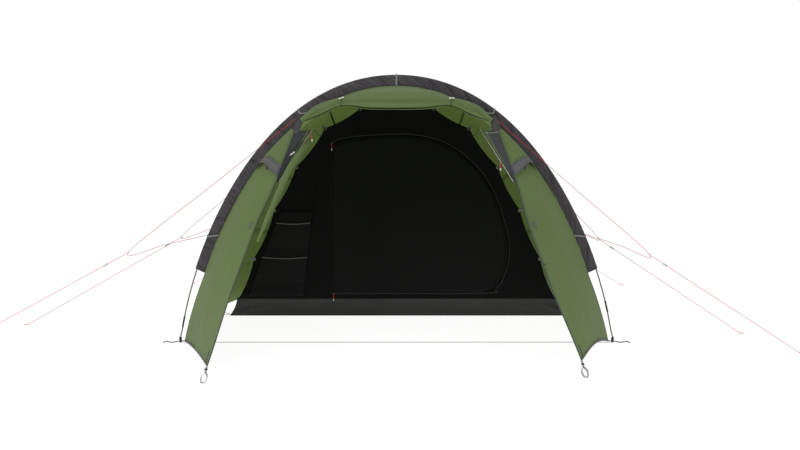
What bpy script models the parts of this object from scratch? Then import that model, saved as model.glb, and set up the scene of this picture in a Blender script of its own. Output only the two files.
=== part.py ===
"""Three-hoop tunnel tent with a pegged-out porch, a hung inner tent and guy lines.

Metres, +Z up. The tent's front faces -Y, its length runs along +Y and the
origin is on the ground under the middle of its box. Run it in Blender's text
editor, or with blender --background --python part.py.
"""
import math
from collections import namedtuple

import bmesh
import bpy
from mathutils import Vector

# ---------------------------------------------------------------- dimensions
FRONT_Y = -1.151                # plane of the front hoop
MIDDLE_Y = FRONT_Y + 1.30       # plane of the middle hoop
REAR_Y = FRONT_Y + 3.00         # plane of the rear hoop

Hoop = namedtuple("Hoop", "half height y sleeve_end")
FRONT = Hoop(1.400, 1.7135, FRONT_Y, 0.480)
MIDDLE = Hoop(1.400, 1.7135, MIDDLE_Y, 0.480)
REAR = Hoop(1.150, 1.2000, REAR_Y, 0.330)

CROWN_HANDLE = 0.6263           # a bent pole: reach of the crown's curve handle, in half widths
SHOULDER = (0.9491, 0.3456)     # the foot's curve handle, in half widths and heights

POLE_RADIUS = 0.0045
SOCKET_RADIUS = 0.0060
SOCKET_BORE = 0.0049
SOCKET_HEIGHT = {-1: 0.140, 1: 0.240}
FOOT_RADIUS = 0.0090
FOOT_HEIGHT = 0.034

FABRIC = 0.0014                 # coated fabric with its seams
GAP = 0.0008                    # air between pieces that are sewn or clipped together
SLEEVE_HALF_WIDTH = 0.020
SLEEVE_RISE = 0.0100
BAND_DEPTH = 0.0625             # how far the front band reaches in under the hoop
BAND_REACH = 0.0600             # and how far forward of it
FLY_HEM = 0.040
FLY_SAG = 0.022

WING_APEX = Vector((0.630, FRONT_Y - 0.100, 1.395))
WING_TIP = {-1: Vector((1.060, FRONT_Y - 0.970, 0.035)),
            1: Vector((1.068, FRONT_Y - 0.810, 0.035))}
WING_BULGE = 0.040
HEM_RISE = {-1: 0.018, 1: 0.045}    # how far a wing's lower edge arches up
PEG_LOOP_END = {-1: Vector((-1.030, FRONT_Y - 1.280, 0.002)),
                1: Vector((1.040, FRONT_Y - 1.130, 0.002))}
# The vent hood's reach as a share of the wing's height: at the band, less in the middle, more at the zip.
HOOD_REACH = (0.225, 0.040, 0.030)
HOOD_LIFT = 0.040
STRUT_ACROSS = 0.62
STRUT_BASE = (0.225, 0.0045)    # share of the wing's height, and lift off the wing
STRUT_TIP = (0.196, 0.0300)
STRUT_HALF_WIDTH = 0.006
STRUT_HALF_THICKNESS = 0.0012
VENT_TOP = Vector((0.540, FRONT_Y - 0.035, 1.372))
VENT_EDGE = Vector((0.622, FRONT_Y - 0.105, 1.356))
VENT_END = 0.262                # share of the zip edge where the vent mesh ends
LINTEL_GAP = 0.003
LINTEL_WIDTH = 0.062
LINTEL_END = 0.28

INNER_Y = FRONT_Y + 1.220       # front wall of the inner tent
WALL_FOOT = 0.130               # top of the groundsheet's wall
INNER_OUTLINE = ((1.195, WALL_FOOT), (1.080, 0.434), (0.925, 0.800), (0.757, 1.122),
                 (0.541, 1.410), (0.280, 1.555), (0.0, 1.600))
INNER_REAR_SCALE = (0.800, 0.626)
INNER_REAR_DEPTH = 0.360
FLY_REAR_DEPTH = 0.560

DOOR_HINGE_X = -0.500
DOOR_OUTLINE = ((-0.497, 0.170), (0.640, 0.170), (0.745, 0.205), (0.815, 0.320), (0.846, 0.490),
                (0.816, 0.680), (0.741, 0.900), (0.613, 1.104), (0.440, 1.254), (0.252, 1.337),
                (0.0, 1.363), (-0.387, 1.337), (-0.497, 1.290))
ZIP_GAP = 0.004

CORD_RADIUS = 0.0015
RUNNER_BORE = 0.0026

# Where each guy starts on its sleeve, its ring, and the end on the ground.
GUYS = {
    "guy_front_left": ((-0.640, FRONT_Y - 0.082, 1.440), (-1.700, FRONT_Y - 0.140, 0.595),
                       (-1.222, FRONT_Y - 0.040, 0.697), (-2.780, FRONT_Y - 0.200, 0.003), 0.16),
    "guy_front_right": ((0.618, FRONT_Y - 0.082, 1.448), (1.599, FRONT_Y - 0.160, 0.583),
                        (1.222, FRONT_Y - 0.040, 0.700), (2.470, FRONT_Y - 0.420, 0.003), 0.11),
    "guy_middle_left": ((-0.975, MIDDLE_Y - 0.006, 1.172), (-1.596, MIDDLE_Y - 0.240, 0.603),
                        (-1.228, MIDDLE_Y - 0.010, 0.700), (-2.633, MIDDLE_Y - 0.575, 0.003), 0.12),
    "guy_middle_right": ((0.975, MIDDLE_Y - 0.006, 1.172), (1.476, MIDDLE_Y - 0.340, 0.597),
                         (1.228, MIDDLE_Y - 0.010, 0.700), (2.335, MIDDLE_Y - 0.950, 0.003), 0.12),
}
REAR_GUYS = {
    "guy_rear_left": ((-0.860, REAR_Y + 0.004, 0.745), (-1.907, REAR_Y + 0.230, 0.003), 0.45),
    "guy_rear_right": ((0.860, REAR_Y + 0.004, 0.745), (2.075, REAR_Y + 0.110, 0.003), 0.45),
}

GREEN = (0.160, 0.245, 0.085, 1.0)
INNER_GREEN = (0.105, 0.200, 0.035, 1.0)
CHARCOAL = (0.050, 0.047, 0.050, 1.0)
PATCH_GREY = (0.150, 0.150, 0.155, 1.0)
BLACK = (0.010, 0.011, 0.011, 1.0)
POLE_GREEN = (0.180, 0.205, 0.150, 1.0)
DARK_METAL = (0.060, 0.062, 0.060, 1.0)
LIGHT_GREY = (0.560, 0.560, 0.540, 1.0)
RED = (0.560, 0.020, 0.020, 1.0)


# ------------------------------------------------------------------- helpers
def clear_scene():
    """Remove every object, so that the file holds only the tent."""
    for thing in list(bpy.data.objects):
        bpy.data.objects.remove(thing, do_unlink=True)


def material(name, colour, roughness, metallic=0.0):
    """Return the named Principled material, made on first use."""
    found = bpy.data.materials.get(name)
    if found:
        return found
    made = bpy.data.materials.new(name)
    made.use_nodes = True
    shader = made.node_tree.nodes["Principled BSDF"]
    shader.inputs["Base Color"].default_value = colour
    shader.inputs["Roughness"].default_value = roughness
    shader.inputs["Metallic"].default_value = metallic
    return made


def add_body(name, vertices, faces, look, smooth=True, origin=(0.0, 0.0, 0.0)):
    """Make one closed body with outward faces, its origin at the given point."""
    origin = Vector(origin)
    mesh = bpy.data.meshes.new(name)
    mesh.from_pydata([Vector(v) - origin for v in vertices], [], faces)
    shape = bmesh.new()
    shape.from_mesh(mesh)
    bmesh.ops.recalc_face_normals(shape, faces=shape.faces)
    shape.to_mesh(mesh)
    shape.free()
    mesh.materials.append(look)
    if smooth:
        mesh.shade_smooth()
        mesh.set_sharp_from_angle(angle=math.radians(35))
    thing = bpy.data.objects.new(name, mesh)
    thing.location = origin
    bpy.context.collection.objects.link(thing)
    return thing


def spread(first, last, count):
    """Return evenly spaced values from first to last."""
    return [first + (last - first) * i / (count - 1) for i in range(count)]


def loops_body(name, loops, look, smooth=True, origin=(0.0, 0.0, 0.0)):
    """Skin a row of equal vertex loops and close it with a cap at each end."""
    count = len(loops[0])
    vertices = [point for loop in loops for point in loop]
    faces = []
    for row in range(len(loops) - 1):
        for i in range(count):
            j = (i + 1) % count
            faces.append((row * count + i, row * count + j, (row + 1) * count + j, (row + 1) * count + i))
    faces.append(tuple(range(count)))
    faces.append(tuple(range((len(loops) - 1) * count, len(loops) * count)))
    return add_body(name, vertices, faces, look, smooth, origin)


def sheet(name, rows, look, thickness=FABRIC):
    """Give a grid of points a thickness, half to each side, as one closed body."""
    high = len(rows)
    wide = len(rows[0])
    front = []
    back = []
    for i in range(high):
        for j in range(wide):
            down = rows[min(i + 1, high - 1)][j] - rows[max(i - 1, 0)][j]
            along = rows[i][min(j + 1, wide - 1)] - rows[i][max(j - 1, 0)]
            offset = down.cross(along).normalized() * (thickness / 2)
            front.append(rows[i][j] + offset)
            back.append(rows[i][j] - offset)
    total = high * wide
    faces = []
    for i in range(high - 1):
        for j in range(wide - 1):
            a = i * wide + j
            faces.append((a, a + 1, a + wide + 1, a + wide))
            faces.append((total + a, total + a + wide, total + a + wide + 1, total + a + 1))
    rim = list(range(wide)) + [i * wide + wide - 1 for i in range(1, high)]
    rim += list(range(total - 2, total - wide - 1, -1)) + [i * wide for i in range(high - 2, 0, -1)]
    for k, a in enumerate(rim):
        b = rim[(k + 1) % len(rim)]
        faces.append((a, total + a, total + b, b))
    return add_body(name, front + back, faces, look)


def plate(name, outline, y, thickness, look, origin=(0.0, 0.0, 0.0)):
    """Extrude an outline of (x, z) points into a flat plate behind the plane y."""
    loops = [[Vector((x, y + depth, z)) for x, z in outline] for depth in (0.0, thickness)]
    return loops_body(name, loops, look, smooth=False, origin=origin)


def ring(centre, direction, radius, sides=8):
    """Return a circle of points round a centre, square to a direction."""
    turn = Vector((0.0, 0.0, 1.0)).rotation_difference(direction.normalized())
    steps = [2 * math.pi * i / sides for i in range(sides)]
    return [centre + turn @ Vector((radius * math.cos(a), radius * math.sin(a), 0.0)) for a in steps]


def turned(name, stations, direction, look, origin=(0.0, 0.0, 0.0)):
    """Skin rings of (centre, radius) that all face one direction."""
    loops = [ring(Vector(centre), direction, radius) for centre, radius in stations]
    return loops_body(name, loops, look, origin=origin)


# --------------------------------------------------------------- hoop curves
def hoop_point(hoop, side):
    """Return the pole's centre at side, from -1 at the left foot to 1 at the right."""
    t = abs(side)
    u = 1.0 - t
    x = 3 * u * u * t * CROWN_HANDLE + 3 * u * t * t * SHOULDER[0] + t ** 3
    z = u ** 3 + 3 * u * u * t + 3 * u * t * t * SHOULDER[1]
    return Vector((math.copysign(x, side) * hoop.half, hoop.y, z * hoop.height))


def hoop_outward(hoop, side):
    """Return the unit direction away from the tent, square to the pole."""
    step = 0.002
    run = hoop_point(hoop, min(side + step, 1.0)) - hoop_point(hoop, max(side - step, -1.0))
    return Vector((-run.z, 0.0, run.x)).normalized()


def side_at(hoop, height):
    """Return the positive side value where the pole passes a height."""
    low, high = 0.0, 1.0
    for _ in range(40):
        middle = (low + high) / 2
        if hoop_point(hoop, middle).z > height:
            low = middle
        else:
            high = middle
    return low


def near_hoop(hoop, side, outward, forward):
    """Return a point beside the pole, outward from it and along the tent."""
    return hoop_point(hoop, side) + hoop_outward(hoop, side) * outward + Vector((0.0, forward, 0.0))


# --------------------------------------------------------------------- poles
def hoop_run(hoop, first, last, count):
    """Return centres along the pole between two side values."""
    return [hoop_point(hoop, side) for side in spread(first, last, count)]


def path_rings(path, radii):
    """Return rings along a path, each square to the path where it stands."""
    loops = []
    for i, (centre, radius) in enumerate(zip(path, radii)):
        before = path[max(i - 1, 0)]
        after = path[min(i + 1, len(path) - 1)]
        loops.append(round_section(centre, after - before, radius))
    return loops


def round_section(centre, direction, radius, sides=8):
    """Return a circle square to a direction in the hoop's plane."""
    along = Vector((direction.x, 0.0, direction.z)).normalized()
    across = Vector((-along.z, 0.0, along.x))
    steps = [2 * math.pi * i / sides for i in range(sides)]
    forward = Vector((0.0, radius, 0.0))
    return [centre + across * (radius * math.cos(a)) + forward * math.sin(a) for a in steps]


def add_front_crown(look):
    """The long bent section, whose ends stand in the sockets of both legs."""
    left = -side_at(FRONT, SOCKET_HEIGHT[-1] - 0.005)
    right = side_at(FRONT, SOCKET_HEIGHT[1] - 0.005)
    path = hoop_run(FRONT, left, right, 45)
    loops_body("front_pole_crown", path_rings(path, [POLE_RADIUS] * len(path)), look)


def add_front_leg(name, side, look):
    """A lower section from the foot up, with its socket at the top."""
    level = SOCKET_HEIGHT[side]
    foot = hoop_point(FRONT, side)
    heights = [0.080, level - 0.0405, level - 0.040, level + 0.030]
    path = [foot + Vector((0.0, 0.0, lift)) for lift in (0.0045, FOOT_HEIGHT + 0.002)]
    path += [hoop_point(FRONT, side * side_at(FRONT, z)) for z in heights]
    radii = [POLE_RADIUS] * 4 + [SOCKET_RADIUS] * 2
    loops = path_rings(path, radii)
    rim = path[-1] - path[-2]
    loops.append(round_section(path[-1], rim, SOCKET_BORE))
    loops.append(round_section(hoop_point(FRONT, side * side_at(FRONT, level - 0.012)), rim, SOCKET_BORE))
    loops_body(name, loops, look)


def add_whole_pole(name, hoop, look):
    """A pole from foot to foot, with a plug on each end that stands on the ground."""
    left = [(-1.0, 0.0, FOOT_RADIUS), (-1.0, 0.026, FOOT_RADIUS), (-1.0, 0.0265, POLE_RADIUS)]
    path = [hoop_point(hoop, side) + Vector((0.0, 0.0, lift)) for side, lift, _ in left]
    radii = [radius for _, _, radius in left]
    for side in spread(-0.97, 0.97, 43):
        path.append(hoop_point(hoop, side))
        radii.append(POLE_RADIUS)
    path += [hoop_point(hoop, -side) + Vector((0.0, 0.0, lift)) for side, lift, _ in reversed(left)]
    radii += [radius for _, _, radius in reversed(left)]
    loops_body(name, path_rings(path, radii), look)


def add_foot(name, side, look):
    """A cup that the pole's end stands in."""
    base = hoop_point(FRONT, side)
    bore = POLE_RADIUS + 0.0012
    stations = [(0.0, FOOT_RADIUS), (FOOT_HEIGHT, FOOT_RADIUS), (FOOT_HEIGHT, bore), (0.004, bore)]
    up = Vector((0.0, 0.0, 1.0))
    turned(name, [(base + up * height, radius) for height, radius in stations], up, look)


# ------------------------------------------------------------------- sleeves
def folded_section(profile, hoop, side):
    """Return a thin folded sheet's loop, from points given as (outward, forward)."""
    points = [Vector(p) for p in profile]
    outer = []
    inner = []
    for i, point in enumerate(points):
        run = points[min(i + 1, len(points) - 1)] - points[max(i - 1, 0)]
        offset = Vector((-run.y, run.x)).normalized() * (FABRIC / 2)
        outer.append(point + offset)
        inner.append(point - offset)
    return [near_hoop(hoop, side, p.x, p.y) for p in outer + inner[::-1]]


def sleeve_profile(last_angle):
    """Return the fold round the pole, from its underside over the back and top."""
    angles = [math.radians(a) for a in range(165, last_angle - 1, -30)]
    return [(SLEEVE_RISE * math.cos(a), SLEEVE_HALF_WIDTH * math.sin(a)) for a in angles]


def folded_body(name, profile, hoop, look, count=37):
    """Sweep a folded section along the hoop; the end caps are strips of quads."""
    end = side_at(hoop, hoop.sleeve_end)
    loops = [folded_section(profile, hoop, side) for side in spread(-end, end, count)]
    size = len(loops[0])
    half = size // 2
    vertices = [point for loop in loops for point in loop]
    faces = []
    for row in range(count - 1):
        for i in range(size):
            j = (i + 1) % size
            faces.append((row * size + i, row * size + j, (row + 1) * size + j, (row + 1) * size + i))
    for start in (0, (count - 1) * size):
        for i in range(half - 1):
            faces.append((start + i, start + i + 1, start + size - 2 - i, start + size - 1 - i))
    return add_body(name, vertices, faces, look)


def add_front_sleeve(look):
    """The dark front band: a pole sleeve whose front edge runs on inward and forward."""
    profile = sleeve_profile(-90) + [(-BAND_DEPTH, -BAND_REACH)]
    folded_body("front_sleeve", profile, FRONT, look)


def add_sleeve(name, hoop, look):
    """A pole sleeve, open by a narrow slot on its underside."""
    folded_body(name, sleeve_profile(-165), hoop, look)


# ----------------------------------------------------------------------- fly
def bay_point(first, second, side, share):
    """Return a point of the roof between two hoops, drawn in a little between them."""
    a = hoop_point(first, side)
    b = hoop_point(second, side)
    point = a.lerp(b, share)
    pull = 1.0 - FLY_SAG * math.sin(math.pi * share)
    return Vector((point.x * pull, point.y, point.z * pull))


def add_bay(name, first, second, side, look, rows):
    """One half of the roof between two hoops, from the ridge to the hem."""
    length = second.y - first.y
    edge = (SLEEVE_HALF_WIDTH + FABRIC / 2 + GAP) / length
    grid = []
    for share in spread(edge, 1.0 - edge, rows):
        hem = side_at(first, FLY_HEM) * (1 - share) + side_at(second, FLY_HEM) * share
        grid.append([bay_point(first, second, side * t, share) for t in spread(0.001, hem, 12)])
    sheet(name, grid, look)


def round_end(half, depth, side):
    """Return the offsets of a nearly square end, from one side round to the other."""
    turn = (1.0 - abs(side)) * math.pi / 2
    x = math.copysign(half * math.cos(turn) ** 0.55, side)
    return Vector((x, depth * math.sin(turn) ** 0.55, 0.0))


def add_fly_rear(look):
    """The sloping end panel behind the rear hoop."""
    clear = SLEEVE_HALF_WIDTH + FABRIC / 2 + GAP
    end = side_at(REAR, 0.110)
    grid = []
    for share in spread(0.0, 1.0, 6):
        row = []
        for t in spread(-1.0, 1.0, 25):
            top = hoop_point(REAR, t * end) + Vector((0.0, clear, 0.0))
            foot = round_end(hoop_point(REAR, end).x, FLY_REAR_DEPTH, t)
            foot += Vector((0.0, REAR_Y + clear, FLY_HEM))
            swell = Vector((0.0, 0.035, 0.020)) * math.sin(math.pi * share)
            row.append(top.lerp(foot, share) + swell)
        grid.append(row)
    sheet("fly_rear", grid, look)


# --------------------------------------------------------------------- porch
def wing_point(side, down, across, lift=0.0):
    """Return a point of the porch wing: down 0 to 1, across from band to zip edge."""
    start = side_at(FRONT, 1.445)
    end = side_at(FRONT, 0.020)
    at = start + (end - start) * down
    low = max(0.0, (0.50 - hoop_point(FRONT, at).z) / 0.50)
    inset = BAND_DEPTH + 0.004 - 0.038 * low
    outer = near_hoop(FRONT, at, -inset, -BAND_REACH - 0.002 + 0.040 * low)
    tip = WING_TIP[side]
    share = (WING_APEX.z - outer.z) / (WING_APEX.z - tip.z)
    zipped = WING_APEX.lerp(tip, min(max(share, 0.0), 1.0))
    run = zipped - outer
    away = Vector((-run.y, run.x, 0.0)).normalized()
    away = away if away.y < 0 else -away
    arc = math.sin(math.pi * across)
    bulge = WING_BULGE * arc * math.sin(math.pi * min(down + 0.05, 1.0))
    point = outer.lerp(zipped, across) + away * (bulge + lift)
    point.z += HEM_RISE[side] * arc * down ** 6
    return Vector((point.x * side, point.y, point.z))


def add_wing(name, side, look):
    """A porch side panel, pulled forward to its peg."""
    steps = spread(0.0, 1.0, 7)
    grid = [[wing_point(side, down, across) for across in steps] for down in spread(0.0, 1.0, 14)]
    sheet(name, grid, look)


def hood_point(side, share, across):
    """Return a point of the vent hood, whose free edge arches off the wing."""
    arc = math.sin(math.pi * across)
    at_band, less, more = HOOD_REACH
    reach = at_band - less * arc + more * across ** 2
    lift = 0.0035 + HOOD_LIFT * share * arc
    return wing_point(side, 0.010 + (reach - 0.010) * share, across, lift)


def add_hood(name, side, look):
    """The awning over the wing's vent opening."""
    steps = spread(0.0, 1.0, 9)
    grid = [[hood_point(side, share, across) for across in steps] for share in spread(0.0, 1.0, 6)]
    sheet(name, grid, look)


def strut_end(side, end):
    """Return one end of the strut, from its share of the wing's height and its lift."""
    down, lift = end
    return wing_point(side, down, STRUT_ACROSS, lift)


def add_strut(name, side, look):
    """A flat stiffener that holds the vent hood's rim off the wing."""
    base = strut_end(side, STRUT_BASE)
    tip = strut_end(side, STRUT_TIP)
    run = (tip - base).normalized()
    wide = Vector((side * 0.6, -0.8, 0.0)).cross(run).normalized() * STRUT_HALF_WIDTH
    thin = run.cross(wide).normalized() * STRUT_HALF_THICKNESS
    loops = []
    for point in (base, tip):
        loops.append([point + wide + thin, point - wide + thin, point - wide - thin, point + wide - thin])
    loops_body(name, loops, look, smooth=False, origin=base)


def mesh_corners(side):
    """Return the vent mesh's corners: under the band, at the zip edge and below."""
    top = Vector((side * VENT_TOP.x, VENT_TOP.y, VENT_TOP.z))
    edge = Vector((side * VENT_EDGE.x, VENT_EDGE.y, VENT_EDGE.z))
    low = WING_APEX.lerp(WING_TIP[side], VENT_END)
    low = Vector((side * (low.x - 0.012), low.y + 0.010, low.z))
    return top, edge, low


def add_vent_mesh(name, side, look):
    """The insect mesh between the wing's zip edge and the door's zip."""
    top, edge, low = mesh_corners(side)
    grid = []
    for share in spread(0.0, 0.93, 5):
        grid.append([top.lerp(low, share).lerp(edge.lerp(low, share), t) for t in spread(0.0, 1.0, 3)])
    sheet(name, grid, look, 0.0012)


def add_lintel(look):
    """The strip of door cloth between the front band and the rolled door."""
    grid = []
    sides = spread(-LINTEL_END, LINTEL_END, 17)
    for width in spread(0.0, LINTEL_WIDTH, 3):
        depth = BAND_DEPTH + LINTEL_GAP + width
        grid.append([near_hoop(FRONT, side, -depth, -BAND_REACH - LINTEL_GAP / 2) for side in sides])
    sheet("door_lintel", grid, look)


DOOR_ROLL = ((-0.600, 1.430, 0.016), (-0.490, 1.492, 0.036), (-0.345, 1.546, 0.029), (-0.180, 1.548, 0.047),
             (0.0, 1.548, 0.053), (0.180, 1.548, 0.047), (0.345, 1.546, 0.029), (0.490, 1.492, 0.040),
             (0.600, 1.430, 0.016))
DOOR_ROLL_Y = FRONT_Y - 0.128
SIDE_ROLL = ((-0.548, FRONT_Y - 0.130, 1.290, 0.012), (-0.606, FRONT_Y - 0.225, 1.215, 0.022),
             (-0.666, FRONT_Y - 0.305, 1.110, 0.022), (-0.719, FRONT_Y - 0.385, 0.980, 0.020),
             (-0.777, FRONT_Y - 0.480, 0.830, 0.015), (-0.824, FRONT_Y - 0.560, 0.700, 0.008))


def add_door_roll(look):
    """The front door rolled up and tied under the band."""
    path = [Vector((x, DOOR_ROLL_Y, z)) for x, z, _ in DOOR_ROLL]
    loops_body("door_roll", path_rings(path, [radius for _, _, radius in DOOR_ROLL]), look)


def add_side_roll(look):
    """The door's left part, gathered beside the left wing's zip edge."""
    path = [Vector((x, y, z)) for x, y, z, _ in SIDE_ROLL]
    loops_body("side_roll", path_rings(path, [radius for _, _, _, radius in SIDE_ROLL]), look)


TOGGLES = {
    "toggle_left": (Vector((-0.345, DOOR_ROLL_Y - 0.036, 1.568)), Vector((0.95, 0.0, 0.30))),
    "toggle_right": (Vector((0.345, DOOR_ROLL_Y - 0.036, 1.568)), Vector((1.0, 0.0, 0.0))),
    "toggle_side": (Vector((-0.642, FRONT_Y - 0.262, 1.222)), Vector((0.80, 0.0, 0.60))),
}


def add_toggle(name, centre, direction, look):
    """A short plastic rod with a waist for its elastic loop."""
    direction = direction.normalized()
    stations = [(-0.017, 0.0028), (-0.014, 0.0042), (-0.005, 0.0040), (-0.002, 0.0026),
                (0.002, 0.0026), (0.005, 0.0040), (0.014, 0.0042), (0.017, 0.0028)]
    turned(name, [(centre + direction * s, r) for s, r in stations], direction, look, origin=centre)


# ---------------------------------------------------------------- inner tent
def whole_outline(points):
    """Mirror a right-hand outline that ends at the middle into a whole one."""
    right = list(points)
    left = [(-x, z) for x, z in reversed(right[:-1])]
    return right + left


def add_inner_front(look, wire):
    """The inner tent's front wall, cut out for its D-shaped door."""
    wall = plate("inner_front_wall", whole_outline(INNER_OUTLINE), INNER_Y, FABRIC, look)
    middle = Vector((0.16, 0.76))
    outline = []
    for x, z in DOOR_OUTLINE:
        away = (Vector((x, z)) - middle).normalized() * ZIP_GAP * 1.5
        outline.append((x + away.x, z + away.y))
    cutter = plate("door_cutter", outline, INNER_Y - 0.02, 0.04, wire)
    cutter.hide_render = True
    cutter.display_type = "WIRE"
    cut = wall.modifiers.new("Doorway", "BOOLEAN")
    cut.operation = "DIFFERENCE"
    cut.object = cutter


def add_inner_door(look):
    """The D-shaped door, whose origin stands on its straight side."""
    hinge = (DOOR_HINGE_X, INNER_Y, 0.170)
    plate("inner_door", DOOR_OUTLINE, INNER_Y, FABRIC, look, origin=hinge)


def add_pockets(look):
    """Three mesh pockets on the front wall, sewn as one panel."""
    outline = ((-0.700, 0.200), (-1.120, 0.200), (-1.035, 0.434), (-0.905, 0.745), (-0.648, 0.758))
    plate("pocket_panel", outline, INNER_Y - 0.006, 0.004, look)


def inner_profile(side):
    """Return (x, z) on the inner tent's outline for side from -1 to 1."""
    place = (1.0 - abs(side)) * (len(INNER_OUTLINE) - 1)
    index = min(int(place), len(INNER_OUTLINE) - 2)
    share = place - index
    a = Vector(INNER_OUTLINE[index])
    b = Vector(INNER_OUTLINE[index + 1])
    point = a.lerp(b, share)
    return math.copysign(point.x, side), point.y


def add_inner_shell(look):
    """The inner tent's roof, sides and back as one sewn shell, open at the front and below."""
    grid = []
    start = INNER_Y + FABRIC + GAP
    sides = spread(-1.0, 1.0, 25)
    for share in spread(0.0, 1.0, 6):
        wide = 1.0 + (INNER_REAR_SCALE[0] - 1.0) * share
        tall = 1.0 + (INNER_REAR_SCALE[1] - 1.0) * share
        row = []
        for side in sides:
            x, z = inner_profile(side)
            height = WALL_FOOT + (z - WALL_FOOT) * tall
            row.append(Vector((x * wide, start + (REAR_Y - start) * share, height)))
        grid.append(row)
    half = grid[-1][-1].x
    rear = grid[-1]
    for share in (0.15, 0.4, 0.7, 1.0):
        row = []
        for top, side in zip(rear, sides):
            foot = round_end(half, INNER_REAR_DEPTH, side) + Vector((0.0, REAR_Y + 0.04, WALL_FOOT))
            row.append(top.lerp(foot, share) + Vector((0.0, 0.05, 0.02)) * math.sin(math.pi * share))
        grid.append(row)
    sheet("inner_shell", grid, look)


def floor_outline(lean, inset):
    """Return the floor's outline, leaned out at the sides and set in by a thickness."""
    front = INNER_Y + 0.001 - 0.06 * lean + inset
    grow = lean - inset
    half_front = 1.212 + grow
    half_rear = INNER_REAR_SCALE[0] * INNER_OUTLINE[0][0] + 0.016 + grow
    points = [(half_front, front)]
    for side in spread(1.0, -1.0, 15):
        offset = round_end(half_rear, INNER_REAR_DEPTH + 0.02 + grow, side)
        points.append((offset.x, REAR_Y + 0.04 + offset.y))
    points.append((-half_front, front))
    return points


def add_groundsheet(look):
    """The tray-shaped floor, whose walls lean in to meet the inner tent."""
    top = WALL_FOOT - 0.0025
    levels = ((0.050, 0.0, 0.0), (0.0, 0.0, top), (0.0, FABRIC, top), (0.050, FABRIC, FABRIC))
    loops = []
    for lean, inset, z in levels:
        loops.append([Vector((x, y, z)) for x, y in floor_outline(lean, inset)])
    loops_body("groundsheet", loops, look, smooth=False)


# -------------------------------------------------------------- small pieces
def puller_outline(x, z, length, lean=0.0):
    """Return a zip slider with a cord pull hanging from it, as (x, z) points."""
    body = 0.006
    waist = 0.002
    bead = 0.0042
    end = z - length
    shift = lean * length
    return ((x - body, z + 0.006), (x + body, z + 0.006), (x + body, z - 0.006), (x + waist, z - 0.006),
            (x + waist + shift, end + 0.012), (x + bead + shift, end + 0.012), (x + bead + shift, end),
            (x - bead + shift, end), (x - bead + shift, end + 0.012), (x - waist + shift, end + 0.012),
            (x - waist, z - 0.006), (x - body, z - 0.006))


def add_slider(name, x, y, z, length, look):
    """A zip slider and its pull, with its origin on the zip."""
    plate(name, puller_outline(x, z, length), y, 0.004, look, origin=(x, y + 0.004, z))


def add_strap(name, path, width, look):
    """A flat strap along a path, lying flat."""
    loops = []
    for i, point in enumerate(path):
        run = path[min(i + 1, len(path) - 1)] - path[max(i - 1, 0)]
        across = Vector((run.y, -run.x, 0.0)).normalized() * (width / 2)
        up = Vector((0.0, 0.0, 0.0008))
        loops.append([point + across + up, point - across + up, point - across - up, point + across - up])
    loops_body(name, loops, look, smooth=False)


def add_ground_straps(look):
    """The strap between the front feet and the loop from each wing's tip to its peg."""
    reach = FRONT.half - FOOT_RADIUS - 0.006
    flat = [Vector((x, FRONT_Y, 0.0012)) for x in spread(-reach, reach, 5)]
    add_strap("threshold_strap", flat, 0.014, look)
    for name, side in (("peg_loop_left", -1), ("peg_loop_right", 1)):
        tip = Vector((WING_TIP[side].x * side, WING_TIP[side].y - 0.008, WING_TIP[side].z - 0.004))
        end = PEG_LOOP_END[side]
        middle = tip.lerp(end, 0.55) - Vector((0.0, 0.0, 0.004))
        add_strap(name, [tip, middle, end], 0.013, look)


# ----------------------------------------------------------------- guy lines
def cord_points(route, count):
    """Return points along a smooth curve through the route's own points."""
    route = [Vector(p) for p in route]
    padded = [route[0] * 2 - route[1]] + route + [route[-1] * 2 - route[-2]]
    points = []
    for value in spread(0.0, len(route) - 1.0001, count):
        i = int(value)
        t = value - i
        a, b, c, d = padded[i:i + 4]
        curve = 2 * b + (c - a) * t + (2 * a - 5 * b + 4 * c - d) * t ** 2 + (3 * b - a - 3 * c + d) * t ** 3
        points.append(curve / 2)
    return points


def add_cord(name, route, look, count=25):
    """A cord as a round tube through its route."""
    curve = bpy.data.curves.new(name, "CURVE")
    curve.dimensions = "3D"
    curve.bevel_depth = CORD_RADIUS
    curve.bevel_resolution = 2
    curve.use_fill_caps = True
    spline = curve.splines.new("POLY")
    points = cord_points(route, count)
    spline.points.add(len(points) - 1)
    for place, point in zip(spline.points, points):
        place.co = (*point, 1.0)
    curve.materials.append(look)
    thing = bpy.data.objects.new(name, curve)
    bpy.context.collection.objects.link(thing)


def add_runner(name, centre, direction, look):
    """A line adjuster: a short barrel that the doubled guy runs through."""
    direction = direction.normalized()
    stations = [(-0.016, RUNNER_BORE), (-0.016, 0.0052), (-0.008, 0.0068), (0.008, 0.0068),
                (0.016, 0.0052), (0.016, RUNNER_BORE)]
    loops = [ring(centre + direction * s, direction, r) for s, r in stations]
    count = len(loops[0])
    vertices = [point for loop in loops for point in loop]
    faces = []
    for row in range(len(loops)):
        after = (row + 1) % len(loops)
        for i in range(count):
            j = (i + 1) % count
            faces.append((row * count + i, row * count + j, after * count + j, after * count + i))
    add_body(name, vertices, faces, look, origin=centre)


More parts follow.
